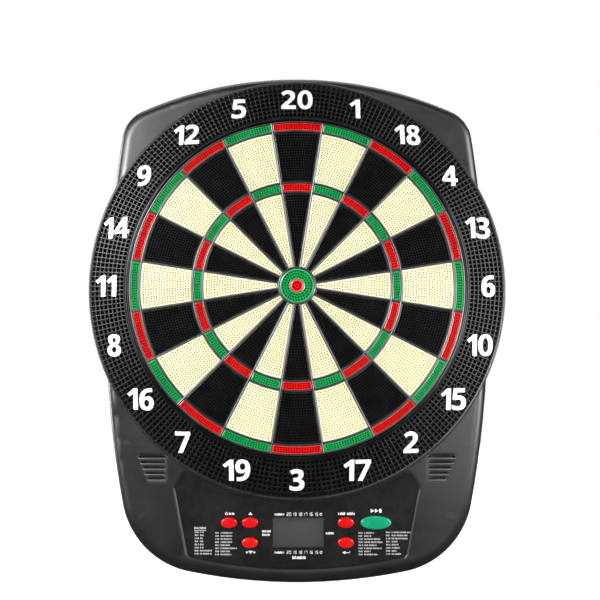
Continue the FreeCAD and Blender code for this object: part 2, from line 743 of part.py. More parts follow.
def spider_frame():
    """Ring webs, rim, radial webs and screw lugs in one piece."""
    body = new_body("spider_frame")
    web_length = "Dims.face_depth-Dims.web_back"
    ring_webs = [
        (bull_circle, f"Dims.{ring}{sign}Dims.web/2")
        for ring in ("bull_ring", "treble_inner", "treble_outer", "double_inner")
        for sign in "-+"
    ]
    pad(body, "spider_ring_webs", "Dims.web_back", web_length, *ring_webs)
    pad(body, "spider_rim_wall", "Dims.rim_back", "Dims.face_depth-Dims.rim_back",
        (bull_circle, "Dims.rim_inner"), (bull_circle, "Dims.rim_outer"))
    web = pad(body, "spider_radial_web", "Dims.web_back", web_length,
              (rect, "-Dims.web/2", "Dims.web/2", "Dims.bull_ring", "Dims.rim_inner+0.5"))
    pattern(body, [web], 20, "spider_radial_webs")
    lug = pad(
        body, "spider_screw_lug", SHELL_INSIDE + "-Dims.lug_thick", "Dims.lug_thick",
        (rect, "-Dims.lug_half_w", "Dims.lug_half_w", "Dims.rim_outer-0.6", "Dims.lug_circle+5"),
        (circle, None, "Dims.lug_circle", "Dims.loose_hole"),
    )
    pattern(body, [lug], 10, "spider_screw_lugs")
    body.Placement = turn(dim["half_sector"])
    return body


# ---------------------------------------------------------------- switch stack

# z and radius of the spacer windows in each sector
SPACER_WINDOWS = [(50, 4), (92, 7), (118.3, 4), (156, 10), (192, 3.6)]


def rubber_mat():
    body = new_body("rubber_mat")
    pad(body, "rubber_mat_sheet", "Dims.mat_front-Dims.mat_thick", "Dims.mat_thick",
        (bull_circle, "Dims.film_radius"))
    return body


def film(label, back):
    body = new_body(label)
    pad(body, label + "_sheet", back, "Dims.film_thick", (bull_circle, "Dims.film_radius"))
    return body


def contact_film(label, back, x_low, x_high):
    """A film disc with a tail running down from it."""
    body = film(label, back)
    pad(body, label + "_tail", back, "Dims.film_thick",
        (rect, x_low, x_high, "-Dims.tail_end_drop", "-Dims.tail_start_drop"))
    return body


def film_spacer():
    body = film("film_spacer", "Dims.spacer_back")
    windows = [(circle, None, z, radius) for z, radius in SPACER_WINDOWS]
    holes = pocket(body, "spacer_window_row", "Dims.spacer_back", "Dims.film_thick", *windows)
    pattern(body, [holes], 20, "spacer_window_rows")
    pocket(body, "spacer_bull_window", "Dims.spacer_back", "Dims.film_thick", (bull_circle, 4))
    return body


def backing_board():
    body = new_body("backing_board")
    pad(body, "backing_sheet", "Dims.backing_back", "Dims.backing_thick",
        (bull_circle, "Dims.backing_radius"))
    hole = pocket(body, "backing_screw_hole", "Dims.backing_back", "Dims.backing_thick",
                  (circle, *BOARD_SCREWS[0], "Dims.loose_hole"))
    pattern(body, [hole], 8, "backing_screw_holes")
    return body


# ---------------------------------------------------------------- moulded shell

# label, places, depth, radius, height
BOSSES = [
    ("case_boss", CASE_SCREWS, "Dims.cover_thick", 4.2, "Dims.shell_depth-Dims.cover_thick-1.2"),
    ("board_boss", BOARD_SCREWS, "Dims.backing_back+Dims.backing_thick", 4, 5),
    ("lug_boss", LUG_SCREWS, "Dims.shell_depth-0.5", 3.8, 5.5),
    ("pcb_boss", PCB_SCREWS, PCB_FRONT, 3.3, 5),
]
DRILLS = [
    ("case_drill", CASE_SCREWS, 0, "Dims.screw_shank", 15),
    ("board_drill", BOARD_SCREWS, 14, "Dims.screw_shank", 6.5),
    ("lug_drill", LUG_SCREWS, 18, "Dims.screw_shank", 7.5),
    ("ring_drill", RING_SCREWS, 18, 1.8, 5),
    ("pcb_drill", PCB_SCREWS, 14, 1, 4.6),
]


def panel_openings():
    """The button and window openings, shared by the shell and the fascia."""
    openings = [
        (ellipse, x, z, f"Dims.{size}_half_w+Dims.cap_gap", f"Dims.{size}_half_h+Dims.cap_gap")
        for label, x, z, size in BUTTONS
    ]
    window = (centred_rect, "Dims.window_x", "-Dims.window_drop",
              "Dims.window_half_w", "Dims.window_half_h")
    return openings + [window]


def vent_slots():
    """Five slots on each side, each shorter than the one above."""
    slots = []
    for k in range(5):
        middle = f"-Dims.vent_drop-{k}*Dims.vent_pitch"
        span = (middle + "-Dims.vent_high/2", middle + "+Dims.vent_high/2")
        slots.append((rect, "Dims.vent_inner", f"Dims.vent_outer-{k}*Dims.vent_step", *span))
        slots.append((rect, f"-Dims.vent_outer+{k}*Dims.vent_step", "-Dims.vent_inner", *span))
    return slots


def shell_skin():
    """The hollow moulding with the round seat, open at the rear."""
    outer = new_body("shell_outer")
    rounded_outline(outer, "0", "Dims.shell_depth")
    fillet(outer, "shell_front_round", edges_at(outer, "Dims.shell_depth"), "Dims.shell_round")
    inner = new_body("shell_inner")
    rounded_outline(inner, "Dims.shell_side_wall", SHELL_INSIDE)
    fillet(inner, "shell_inner_round", edges_at(inner, SHELL_INSIDE),
           "Dims.shell_round-Dims.shell_side_wall")
    seat = cylinder("seat_outer", 0, 0, "Dims.seat_back", "Dims.seat_radius",
                    "Dims.shell_depth-Dims.seat_back")
    seat_hollow = cylinder(
        "seat_inner", 0, 0, "Dims.seat_back+Dims.seat_wall", "Dims.seat_radius-Dims.seat_wall",
        SHELL_INSIDE + "-Dims.seat_back-Dims.seat_wall",
    )
    whole = fuse("shell_solid", [outer, seat])
    return cut("shell_skin", whole, fuse("shell_hollow", [inner, seat_hollow]))


def speaker_collar():
    centre = ("Dims.speaker_x", "-Dims.speaker_drop")
    return cut(
        "speaker_collar",
        cylinder("collar_outer", *centre, 14, "Dims.speaker_radius+2", 5.6),
        cylinder("collar_inner", *centre, 13, "Dims.speaker_radius+0.4", 7),
    )


def shell_cuts():
    """What is taken out of the shell's front wall."""
    tools = new_body("shell_cuts")
    start = SHELL_INSIDE + "-1"
    pad(tools, "target_hole", start, "Dims.shell_front_wall+2",
        (bull_circle, "Dims.opening_radius"))
    pad(tools, "panel_recess", "Dims.panel_floor", "Dims.shell_depth-Dims.panel_floor+1",
        (panel_outline, "0"))
    round_panel_corners(tools, "panel_recess_corners", "Dims.panel_round")
    pad(tools, "panel_holes", start, "Dims.shell_front_wall", *panel_openings())
    pad(tools, "vents", start, "Dims.shell_front_wall+2", *vent_slots())
    return tools


def front_housing():
    bosses = [boss for entry in BOSSES for boss in cylinders(*entry)]
    shell = fuse("shell_with_bosses", [shell_skin(), speaker_collar()] + bosses)
    tools = shell_cuts()
    drills = [drill for entry in DRILLS for drill in cylinders(*entry)]
    return cut("front_housing", shell, fuse("shell_removed", [tools] + drills))


# ---------------------------------------------------------------- catch ring

# radius and y round the section of the ring
RING_PROFILE = [
    ("Dims.ring_inner", "-Dims.face_depth"),
    ("Dims.lip_outer", "-Dims.face_depth"),
    ("Dims.grid_inner", "-Dims.grid_top"),
    ("Dims.grid_outer", "-Dims.grid_low"),
    ("Dims.grid_outer+1.4", "-Dims.grid_low"),
    ("Dims.ring_outer", "-Dims.grid_low+1.8"),
    ("Dims.ring_outer", "-Dims.shell_depth"),
    ("Dims.ring_outer-2.2", "-Dims.shell_depth"),
    ("Dims.ring_outer-2.2", "-Dims.grid_low+Dims.ring_skin"),
    ("Dims.ring_inner+2.4", "-Dims.grid_top+Dims.ring_skin"),
    ("Dims.ring_inner+2.4", "-Dims.shell_depth"),
    ("Dims.ring_inner", "-Dims.shell_depth"),
]


def catch_ring():
    body = new_body("catch_ring")
    profile = new_sketch(body, "ring_profile", 0, [(polygon, RING_PROFILE)], "XY_Plane")
    ring = body.newObject("PartDesign::Revolution", "ring_body")
    ring.Profile = profile
    ring.ReferenceAxis = (origin_feature(body, "Y_Axis"), [""])
    ring.Angle = 360
    doc.recompute()
    boss = pad(body, "ring_screw_boss", "Dims.shell_depth", 7.5,
               (circle, None, "Dims.ring_screw_circle", 4))
    pattern(body, [boss], 10, "ring_screw_bosses")
    hole = pocket(body, "ring_screw_hole", "Dims.shell_depth", 5.5,
                  (circle, None, "Dims.ring_screw_circle", "Dims.screw_shank"))
    pattern(body, [hole], 10, "ring_screw_holes")
    return body


# ---------------------------------------------------------------- numerals

NUMERAL_LIFT = 0.08  # clearance between the grid and the numerals
DIGIT_GAP = 62.0  # between two digits, in thousandths of the numeral height

# Each digit: width, then closed contours of (x, y), or (x, y, 1) at a sharp corner, in
# thousandths of the numeral height. The first contour is the outside, the rest are holes.
GLYPHS = {
    "0": (740, [
        [
            (375, 1012), (590, 930), (705, 740), (736, 500), (705, 260), (590, 70),
            (375, -12), (160, 70), (45, 260), (14, 500), (45, 740), (160, 930),
        ],
        [
            (375, 842), (462, 790), (508, 670), (520, 500), (508, 330), (462, 210),
            (375, 158), (288, 210), (242, 330), (230, 500), (242, 670), (288, 790),
        ],
    ]),
    "1": (496, [[
        (284, 0, 1), (496, 0, 1), (496, 1000, 1), (322, 1000, 1), (0, 741, 1),
        (102, 614, 1), (217, 706, 1), (284, 768, 1),
    ]]),
    "2": (700, [[
        (700, 0, 1), (0, 0, 1), (0, 152, 1), (248, 402), (372, 538), (425, 632),
        (436, 705), (412, 782), (350, 826), (285, 832), (200, 803), (112, 730, 1),
        (0, 862, 1), (105, 948), (205, 995), (330, 1012), (475, 985), (590, 908),
        (645, 805), (655, 700), (630, 592), (560, 478), (430, 338), (272, 184, 1),
        (700, 184, 1),
    ]]),
    "3": (690, [[
        (25, 908, 1), (120, 970), (230, 1003), (345, 1012), (500, 985), (605, 908),
        (645, 795), (622, 665), (560, 580), (462, 532, 1), (580, 497), (665, 410),
        (687, 285), (655, 145), (560, 42), (410, -8), (260, -16), (120, 2), (0, 46, 1),
        (0, 234, 1), (110, 186), (220, 162), (320, 160), (405, 185), (455, 235),
        (465, 300), (440, 368), (370, 410), (280, 424), (175, 426, 1), (175, 588, 1),
        (270, 590), (355, 606), (412, 650), (428, 718), (405, 785), (345, 822),
        (285, 828), (205, 808), (118, 762, 1),
    ]]),
    "4": (754, [
        [
            (754, 207, 1), (634, 207, 1), (634, 0, 1), (427, 0, 1), (427, 207, 1),
            (0, 207, 1), (0, 354, 1), (438, 1000, 1), (634, 1000, 1), (634, 371, 1),
            (754, 371, 1),
        ],
        [(427, 371, 1), (427, 700, 1), (376, 606, 1), (216, 371, 1)],
    ]),
    "5": (690, [[
        (75, 1000, 1), (620, 1000, 1), (620, 812, 1), (250, 812, 1), (234, 648, 1),
        (330, 660), (450, 645), (580, 578), (665, 462), (685, 322), (655, 165),
        (560, 50), (400, -10), (250, -17), (110, 0), (0, 48, 1), (0, 236, 1),
        (110, 190), (220, 164), (310, 160), (402, 182), (455, 240), (468, 322),
        (443, 412), (372, 468), (280, 480), (190, 470), (112, 450, 1), (28, 502, 1),
    ]]),
    "6": (730, [
        [
            (655, 1003, 1), (540, 1012), (400, 995), (230, 920), (110, 790), (45, 620),
            (28, 430), (45, 255), (105, 105), (220, 12), (375, -17), (540, 12),
            (660, 115), (712, 300), (690, 480), (595, 600), (460, 640), (345, 612),
            (262, 528, 1), (276, 640), (330, 750), (430, 815), (540, 835), (655, 830, 1),
        ],
        [
            (375, 482), (442, 460), (490, 400), (504, 318), (488, 230), (442, 170),
            (375, 148), (308, 172), (262, 236), (248, 320), (266, 404), (312, 462),
        ],
    ]),
    "7": (717, [[
        (118, 0, 1), (493, 822, 1), (0, 822, 1), (0, 1000, 1), (717, 1000, 1),
        (717, 867, 1), (339, 0, 1),
    ]]),
    "8": (730, [
        [
            (530, 534, 1), (628, 640), (662, 765), (630, 900), (520, 985), (365, 1012),
            (210, 985), (100, 900), (68, 765), (102, 640), (200, 534, 1), (98, 452),
            (38, 350), (28, 230), (75, 95), (190, 10), (365, -17), (540, 10), (655, 95),
            (702, 230), (692, 350), (632, 452),
        ],
        [
            (365, 842), (432, 815), (460, 745), (436, 668), (365, 610), (294, 668),
            (270, 745), (298, 815),
        ],
        [
            (365, 440), (455, 375), (488, 275), (450, 185), (365, 150), (280, 185),
            (242, 275), (275, 375),
        ],
    ]),
}
# the 9 is the 6 turned by half a turn
GLYPHS["9"] = (
    730, [[(730 - x, 1000 - y, *sharp) for x, y, *sharp in c] for c in GLYPHS["6"][1]]
)


def smooth_edge(points, periodic=False):
    curve = Part.BSplineCurve()
    curve.interpolate(points, PeriodicFlag=periodic)
    return curve.toShape()


def contour(points, left, scale):
    """A closed wire: neighbouring sharp corners are joined by a line, and smooth points
    between corners by one curve."""
    at = [Vector(left * scale + p[0] * scale, 0, -500 * scale + p[1] * scale) for p in points]
    sharp = [len(point) == 3 for point in points]
    if not any(sharp):
        return Part.Wire([smooth_edge(at, periodic=True)])
    first = sharp.index(True)
    edges, run = [], [at[first]]
    for step in range(1, len(points) + 1):
        k = (first + step) % len(points)
        run.append(at[k])
        if sharp[k]:
            edges.append(Part.makeLine(*run) if len(run) == 2 else smooth_edge(run))
            run = [at[k]]
    return Part.Wire(edges)


def numeral_faces(text, scale):
    """Flat faces of a number, centred on the origin in the XZ plane."""
    left = -(sum(GLYPHS[digit][0] for digit in text) + DIGIT_GAP * (len(text) - 1)) / 2
    faces = []
    for digit in text:
        width, contours = GLYPHS[digit]
        wires = [contour(points, left, scale) for points in contours]
        face = Part.Face(wires[0])
        for hole in wires[1:]:
            face = face.cut(Part.Face(hole))
        faces += face.Faces
        left += width + DIGIT_GAP
    return faces


def numerals():
    """The twenty numbers, lying on the slope of the catch ring."""
    grid_rise = dim["grid_top"] - dim["grid_low"]
    grid_width = dim["grid_outer"] - dim["grid_inner"]
    slope = math.atan2(grid_rise, grid_width)
    radius = dim["numeral_circle"]
    depth = dim["grid_top"] - (radius - dim["grid_inner"]) * grid_rise / grid_width
    plates = []
    for k, score in enumerate(ORDER):
        angle = math.radians(SECTOR * k)
        sine, cosine = math.sin(angle), math.cos(angle)
        normal = Vector(sine * math.sin(slope), -math.cos(slope), cosine * math.sin(slope))
        centre = Vector(radius * sine, -depth, radius * cosine) + normal * NUMERAL_LIFT
        rest = FreeCAD.Placement(centre, FreeCAD.Rotation(Vector(0, -1, 0), normal))
        for face in numeral_faces(str(score), dim["numeral_high"] / 1000.0):
            plate = face.extrude(Vector(0, -dim["numeral_thick"], 0))
            plate.Placement = rest
            plates.append(plate)
    return shape_feature("numerals", plates)


# ---------------------------------------------------------------- rear cover


def cell_rect(half_w, half_h):
    """A rectangle about the middle of the battery compartment."""
    return (centred_rect, "-Dims.cell_x", "-Dims.cell_z", half_w, half_h)


def cover_ribs(body):
    """Two ring ribs joined by eight radial ribs, up to the backing board."""
    height = "Dims.backing_back-Dims.cover_thick"
    pad(body, "cover_ring_ribs", "Dims.cover_thick", height,
        *[(bull_circle, radius) for radius in (100, 98, 180, 178)])
    rib = pad(body, "cover_radial_rib", "Dims.cover_thick", height, (rect, -1, 1, 99, 179))
    pattern(body, [rib], 8, "cover_radial_ribs")


def cover_cell_box(body):
    """The battery compartment, open at the rear, with the seat and bearings of its door."""
    pad(body, "cell_box_walls", "Dims.cover_thick-0.5",
        "Dims.cell_floor+1.4-Dims.cover_thick+0.5",
        cell_rect("Dims.cell_half_w+3.2", "Dims.cell_half_h+3.6"))
    pocket(body, "cell_cavity_cut", 0, "Dims.cell_floor",
           cell_rect("Dims.cell_half_w", "Dims.cell_half_h"))
    pocket(body, "door_seat", 0, "Dims.door_seat",
           cell_rect("Dims.door_half_w+0.4", "Dims.cell_half_h+2.6"))
    left, right = "-Dims.cell_x-Dims.door_half_w", "-Dims.cell_x+Dims.door_half_w"
    span = (CELL_LOW + "-2.5", CELL_LOW + "-0.1")
    pocket(body, "door_bearing_slots", 0, "Dims.door_seat",
           (rect, left + "-2.2", left + "-0.2", *span),
           (rect, right + "+0.2", right + "+2.2", *span))
    side = "-Dims.cell_x+Dims.cell_half_w"
    pocket(body, "wire_exit_cut", "Dims.cell_floor-12", 7,
           (rect, side + "-1", side + "+5", -260, -248))


def cover_keyholes(body):
    centres = [
        (x, z) for x in ("Dims.key_x", "-Dims.key_x") for z in ("Dims.key_z", "-Dims.key_z")
    ]
    pocket(body, "keyhole_entry_cut", 0, "Dims.cover_thick",
           *[(circle, x, z, "Dims.key_entry") for x, z in centres])
    slots = [
        (rect, x + "-Dims.key_slot", x + "+Dims.key_slot", z + "+2", z + "+Dims.key_rise")
        for x, z in centres
    ]
    pocket(body, "keyhole_slot_cut", 0, "Dims.cover_thick", *slots)
    pocket(body, "keyhole_end_cut", 0, "Dims.cover_thick",
           *[(circle, x, z + "+Dims.key_rise", "Dims.key_slot") for x, z in centres])


def rear_cover():
    body = new_body("rear_cover")
    rounded_outline(body, "Dims.cover_gap", "Dims.cover_thick")
    cover_ribs(body)
    cover_cell_box(body)
    pocket(body, "case_screw_clearance", 0, "Dims.cover_thick",
           *[(circle, x, z, 1.9) for x, z in CASE_SCREWS])
    pocket(body, "case_screw_counterbores", 0, 1.5,
           *[(circle, x, z, "Dims.screw_head+0.5") for x, z in CASE_SCREWS])
    pocket(body, "bumper_seats", 0, "Dims.bumper_high",
           *[(circle, x, z, "Dims.bumper_radius+0.2") for x, z in BUMPERS])
    cover_keyholes(body)
    return body


def wall_bumpers():
    return group(
        "wall_bumpers", cylinders("bumper", BUMPERS, 0, "Dims.bumper_radius", "Dims.bumper_high")
    )


# ---------------------------------------------------------------- battery door and contacts


def battery_door():
    """A plate with a hinge barrel along its lower edge, a pin at each end, and grip grooves."""
    body = new_body("battery_door")
    left, right = "-Dims.cell_x-Dims.door_half_w", "-Dims.cell_x+Dims.door_half_w"
    low_edge = CELL_LOW + "-1.3"
    pad(body, "door_sheet", "Dims.door_back", "Dims.door_thick",
        (rect, left, right, low_edge, CELL_TOP + "+2.2"))
    pad(body, "door_hinge_barrel", left, "2*Dims.door_half_w",
        (circle, "-Dims.hinge_depth", low_edge, "Dims.barrel_radius"), plane="YZ_Plane")
    pad(body, "door_hinge_pins", left + "-Dims.pin_reach",
        "2*Dims.door_half_w+2*Dims.pin_reach",
        (circle, "-Dims.hinge_depth", low_edge, "Dims.pin_radius"), plane="YZ_Plane")
    grooves = [
        (rect, "-Dims.cell_x-9", "-Dims.cell_x+9", f"-252+{k}*2.6", f"-252+{k}*2.6+1.1")
        for k in range(4)
    ]
    pocket(body, "door_grip_grooves", "Dims.door_back", 0.7, *grooves)
    return body


def battery_contacts():
    """A plate at each end of every cell, with a conical spring on the lower one."""
    clips = []
    for k in range(3):
        x = f"-Dims.cell_x+({k - 1})*Dims.cell_pitch"
        for name, low, high in (
            ("plate", CELL_TOP + "-1.0", CELL_TOP + "-0.6"),
            ("tail", CELL_LOW + "+0.6", CELL_LOW + "+1.0"),
        ):
            clips.append(box(f"cell_{name}_{k}", x + "-5", x + "+5", 4.5, 10, low, high))
        clips.append(solid("Cone", f"cell_spring_{k}", x, -9.5, CELL_LOW + "+1.0",
                           Radius1=4, Radius2=2, Height=3.4))
    return fuse("battery_contacts", clips)


# ---------------------------------------------------------------- control panel


def control_fascia():
    body = new_body("control_fascia")
    pad(body, "fascia_sheet", "Dims.panel_floor", "Dims.fascia_thick",
        (panel_outline, "Dims.fascia_gap"))
    round_panel_corners(body, "fascia_corners", "Dims.panel_round-Dims.fascia_gap")
    pocket(body, "fascia_holes", "Dims.panel_floor", "Dims.fascia_thick", *panel_openings())
    return body


def lcd_window():
    body = new_body("lcd_window")
    back = SHELL_INSIDE + "+0.1"
    front = "Dims.panel_floor+Dims.fascia_thick"
    pad(body, "window_sheet", back, f"{front}-({back})",
        (centred_rect, "Dims.window_x", "-Dims.window_drop",
         "Dims.window_half_w-Dims.window_gap", "Dims.window_half_h-Dims.window_gap"))
    chamfer(body, "window_bevel", edges_at(body, front), 0.3)
    return body


def lcd_glass():
    body = new_body("lcd_glass")
    pad(body, "glass_sheet", "Dims.glass_back", "Dims.glass_thick",
        (rect, "Dims.window_x-34", "Dims.window_x+34",
         "-Dims.window_drop-21", "-Dims.window_drop+20.5"))
    return body


def zebra_strips():
    """The two strips between the circuit board and the display glass."""
    return group("zebra_strips", [
        box(label, "Dims.window_x-31", "Dims.window_x+31", PCB_FRONT,
            f"Dims.glass_back-({PCB_FRONT})",
            f"-Dims.window_drop{low}", f"-Dims.window_drop{high}")
        for label, low, high in (("zebra_top", "+17.5", "+19.5"), ("zebra_low", "-20", "-18"))
    ])


def circuit_board():
    body = new_body("circuit_board")
    pad(body, "pcb_sheet", "Dims.pcb_back", "Dims.pcb_thick",
        (rect, "-Dims.pcb_left", "Dims.pcb_right", "-Dims.pcb_low_drop", "-Dims.pcb_top_drop"),
        *[(circle, x, z, 1.5) for x, z in PCB_SCREWS],
        *[(circle, x, z, 1.2) for x, z in CLAMP_SCREWS])
    return body


# blocks on the rear of the circuit board: label, x from and to, z from and to, height
COMPONENTS = [
    ("controller_chip", -6, 12, -298, -280, 1.8),
    ("driver_chip", 30, 42, -296, -288, 1.6),
    ("matrix_socket", -24, 24, -274, -268, 3.6),
    ("battery_socket", -92, -82, -284, -276, 4.6),
    ("speaker_socket", 96, 104, -284, -276, 4.6),
    ("resonator", 18, 24, -290, -280, 3.2),
    ("regulator", -60, -53, -300, -292, 2.4),
]
RESISTORS = [
    (f"resistor_{k}", -48 + 5 * k, f"-45.6+{5 * k}", -312.5, -308.5, 1.1) for k in range(8)
]
CAPACITORS = [(-70, -292), (-30, -300), (60, -286), (78, -300)]  # x, z
CAPACITOR_RADIUS, CAPACITOR_HEIGHT = 2.6, 5.2


def board_components():
    def blocks(table):
        return [
            box(label, x_low, x_high, f"Dims.pcb_back-{tall}", tall, z_low, z_high)
            for label, x_low, x_high, z_low, z_high, tall in table
        ]

    cans = cylinders("capacitor", CAPACITORS, f"Dims.pcb_back-{CAPACITOR_HEIGHT}",
                     CAPACITOR_RADIUS, CAPACITOR_HEIGHT)
    return group("board_components", blocks(COMPONENTS) + cans + blocks(RESISTORS))


def keypad_mat():
    """Two sheets on the circuit board, with a dome behind every button."""
    body = new_body("keypad_mat")
    pad(body, "keypad_sheet", PCB_FRONT, "Dims.keypad_thick",
        (rect, -91.5, -44, -310, -267), (rect, 45, 111, -310, -266.5))
    sheet_front = PCB_FRONT + "+Dims.keypad_thick"
    pad(body, "keypad_dome_row", sheet_front, f"Dims.dome_top-({sheet_front})",
        *[(circle, x, z, "Dims.dome_radius") for label, x, z, size in BUTTONS])
    chamfer(body, "keypad_dome_bevels", edges_at(body, "Dims.dome_top"), 0.6)
    return body


def button(label, x, z, size):
    body = new_body(label)
    half_w, half_h = f"Dims.{size}_half_w", f"Dims.{size}_half_h"
    pad(body, label + "_cap", "Dims.cap_base", "Dims.cap_top-Dims.cap_base",
        (ellipse, x, z, half_w, half_h))
    pad(body, label + "_flange", "Dims.cap_base", "Dims.cap_flange_thick",
        (ellipse, x, z, half_w + "+Dims.cap_flange", half_h + "+Dims.cap_flange"))
    fillet(body, label + "_crown", edges_at(body, "Dims.cap_top"), "Dims.cap_round")
    return body


# ---------------------------------------------------------------- loudspeaker

# label, depth, length, radii
SPEAKER_PADS = [
    ("speaker_flange_ring", 17, 1.8, ["Dims.speaker_radius", "Dims.speaker_radius-3"]),
    ("speaker_basket_wall", 12, 5, ["Dims.speaker_radius-1.6", "Dims.speaker_radius-3"]),
    ("speaker_back_plate", 10.8, 1.4, ["Dims.speaker_radius-1.6"]),
    ("speaker_magnet_disc", 7.6, 3.4, [9]),
]


def speaker():
    body = new_body("speaker")
    for name, depth, length, radii in SPEAKER_PADS:
        pad(body, name, depth, length,
            *[(circle, "Dims.speaker_x", "-Dims.speaker_drop", radius) for radius in radii])
    return body


def speaker_cone():
    """A thin cone, widening forward: a solid cone less its dish."""
    whole, dish = [
        solid("Cone", label, "Dims.speaker_x", -depth, "-Dims.speaker_drop", True,
              Radius1=rear_radius, Radius2=front_radius, Height=height)
        for label, depth, rear_radius, front_radius, height in (
            ("speaker_cone_solid", 13.4, 5.5, "Dims.speaker_radius-3.4", 4),
            ("speaker_cone_dish", 13.9, 4.7, "Dims.speaker_radius-4.4", 3.6),
        )
    ]
    return cut("speaker_cone", whole, dish)


# ---------------------------------------------------------------- clamp and wiring

WIRE_RADIUS = 0.7
# x, y, z along the two battery wires, then the two speaker wires
WIRE_PATHS = [
    [(-113.5, -9.0, -251.0), (-106, -8.0, -254), (-99, -7.2, -268), (-91.6, -8.2, -275.5)],
    [(-113.5, -9.0, -253.6), (-107, -6.0, -258), (-101, -5.4, -272), (-91.6, -6.0, -279.0),
     (-89.8, -7.4, -281.5)],
    [(158.0, -9.6, -222.0), (140, -8.0, -236), (118, -7.0, -260), (104.6, -7.6, -277)],
    [(158.0, -9.6, -226.0), (142, -6.4, -242), (122, -5.4, -266), (104.9, -6.2, -281)],
]


def film_clamp():
    bar = box("clamp_bar", -31, 31, 15.7, 2, -264.5, -258)
    return cut("film_clamp", bar,
               fuse("clamp_holes", cylinders("clamp_hole", CLAMP_SCREWS, 15, 1.5, 4)))


def wire(points):
    """A wire along a smooth path."""
    curve = Part.BSplineCurve()
    curve.interpolate([Vector(*point) for point in points])
    path = Part.Wire([curve.toShape()])
    start = curve.FirstParameter
    end_circle = Part.makeCircle(WIRE_RADIUS, curve.value(start), curve.tangent(start)[0])
    return path.makePipeShell([Part.Wire([end_circle])], True, True)


def wiring():
    return shape_feature("wiring", [wire(points) for points in WIRE_PATHS])


# ---------------------------------------------------------------- fasteners


def screws(label, points, head_back, head_high, length,
           head="Dims.screw_head", shank="Dims.screw_shank-0.1"):
    """Flat-headed screws driven from behind: head at head_back, shank forward of it."""
    made = []
    for k, (x, z) in enumerate(points):
        name = f"{label}_{k}"
        made.append(fuse(name, [
            cylinder(name + "_head", x, z, head_back, head, head_high),
            cylinder(name + "_shank", x, z, f"{head_back}+{head_high}", shank, length),
        ]))
    return made


def fastener_groups():
    return [
        group("case_screws", screws("case_screw", CASE_SCREWS, 0.2, 1.2, 12)),
        group("board_screws", screws("board_screw", BOARD_SCREWS, 8.2, 1.8, 9)),
        # the spider and the catch ring share one size of screw
        group("frame_screws",
              screws("spider_screw", LUG_SCREWS, 15.4, 1.6, 7.8, head=3)
              + screws("ring_screw", RING_SCREWS, 17.4, 1.6, 7.8, head=3)),
        group("board_fixings",
              screws("pcb_screw", PCB_SCREWS, 11.4, 1.4, 5.4, head=2.2, shank=0.95)
              + screws("clamp_screw", CLAMP_SCREWS, 11.4, 1.4, 4.8, head=2.1, shank=1.0)),
    ]


# ---------------------------------------------------------------- build, check and write

nodes = [single(k, score) for k, score in enumerate(ORDER)]
nodes += [
    colour_ring("treble_red", TREBLE, TREBLE_FEET, 0),
    colour_ring("treble_green", TREBLE, TREBLE_FEET, SECTOR),
    colour_ring("double_red", DOUBLE, DOUBLE_FEET, 0, "Dims.double_edge"),
    colour_ring("double_green", DOUBLE, DOUBLE_FEET, SECTOR, "Dims.double_edge"),
    outer_bull(),
    inner_bull(),
    spider_frame(),
    rubber_mat(),
    contact_film("contact_film_front", "Dims.film_front_back", "-Dims.tail_far", "-Dims.tail_near"),
    contact_film("contact_film_rear", "Dims.film_rear_back", "Dims.tail_near", "Dims.tail_far"),
    film_spacer(),
    backing_board(),
    front_housing(),
    catch_ring(),
    numerals(),
    rear_cover(),
    battery_door(),
    battery_contacts(),
    wall_bumpers(),
    control_fascia(),
    lcd_window(),
    lcd_glass(),
    zebra_strips(),
    circuit_board(),
    board_components(),
    keypad_mat(),
]
nodes += [button(*entry) for entry in BUTTONS]
nodes += [speaker(), speaker_cone(), film_clamp(), wiring()]
nodes += fastener_groups()

doc.recompute()
for item in doc.Objects:
    if any(word in item.State for word in ("Invalid", "Error")):
        raise RuntimeError(f"{item.Label} ({item.TypeId}) failed: {item.State}")
for node in nodes:
    if node.Shape.isNull() or not node.Shape.isValid() or not node.Shape.Solids:
        raise RuntimeError(f"{node.Label} has no valid shape")
os.makedirs("parts", exist_ok=True)
for node in nodes:
    node.Shape.exportStep(f"parts/{node.Label}.step")
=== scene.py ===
"""An electronic dartboard with perforated segments, a catch ring and a control panel below it.

The bull is at the origin and the board faces -Y. Shapes are drawn in millimetres as
(x, z, d): right, up, and forward of the wall. Lights, floor and camera are in metres.
"""

import math
from collections import namedtuple

import bpy
from mathutils import Matrix, Vector
from mathutils.geometry import delaunay_2d_cdt


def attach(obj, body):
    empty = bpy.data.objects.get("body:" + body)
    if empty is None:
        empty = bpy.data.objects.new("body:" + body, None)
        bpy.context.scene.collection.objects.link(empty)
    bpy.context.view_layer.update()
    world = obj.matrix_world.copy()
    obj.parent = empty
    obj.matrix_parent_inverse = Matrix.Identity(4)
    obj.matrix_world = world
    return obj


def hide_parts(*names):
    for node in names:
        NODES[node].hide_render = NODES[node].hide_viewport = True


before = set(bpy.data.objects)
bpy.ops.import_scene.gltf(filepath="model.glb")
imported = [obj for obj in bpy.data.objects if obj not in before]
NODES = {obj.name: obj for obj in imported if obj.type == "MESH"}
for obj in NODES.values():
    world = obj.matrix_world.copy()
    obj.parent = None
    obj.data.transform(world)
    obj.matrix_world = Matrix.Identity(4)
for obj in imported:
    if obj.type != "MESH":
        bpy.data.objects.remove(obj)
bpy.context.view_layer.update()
scene = bpy.context.scene

# ---------------------------------------------------------------- driving dimensions

MM = 0.001
SHARP_ANGLE = 38.0  # degrees between faces beyond which an edge is shaded sharp

ORDER = [20, 1, 18, 4, 13, 6, 10, 15, 2, 17, 3, 19, 7, 16, 8, 11, 14, 9, 12, 5]  # clockwise
WEDGE = 18  # degrees taken by each number

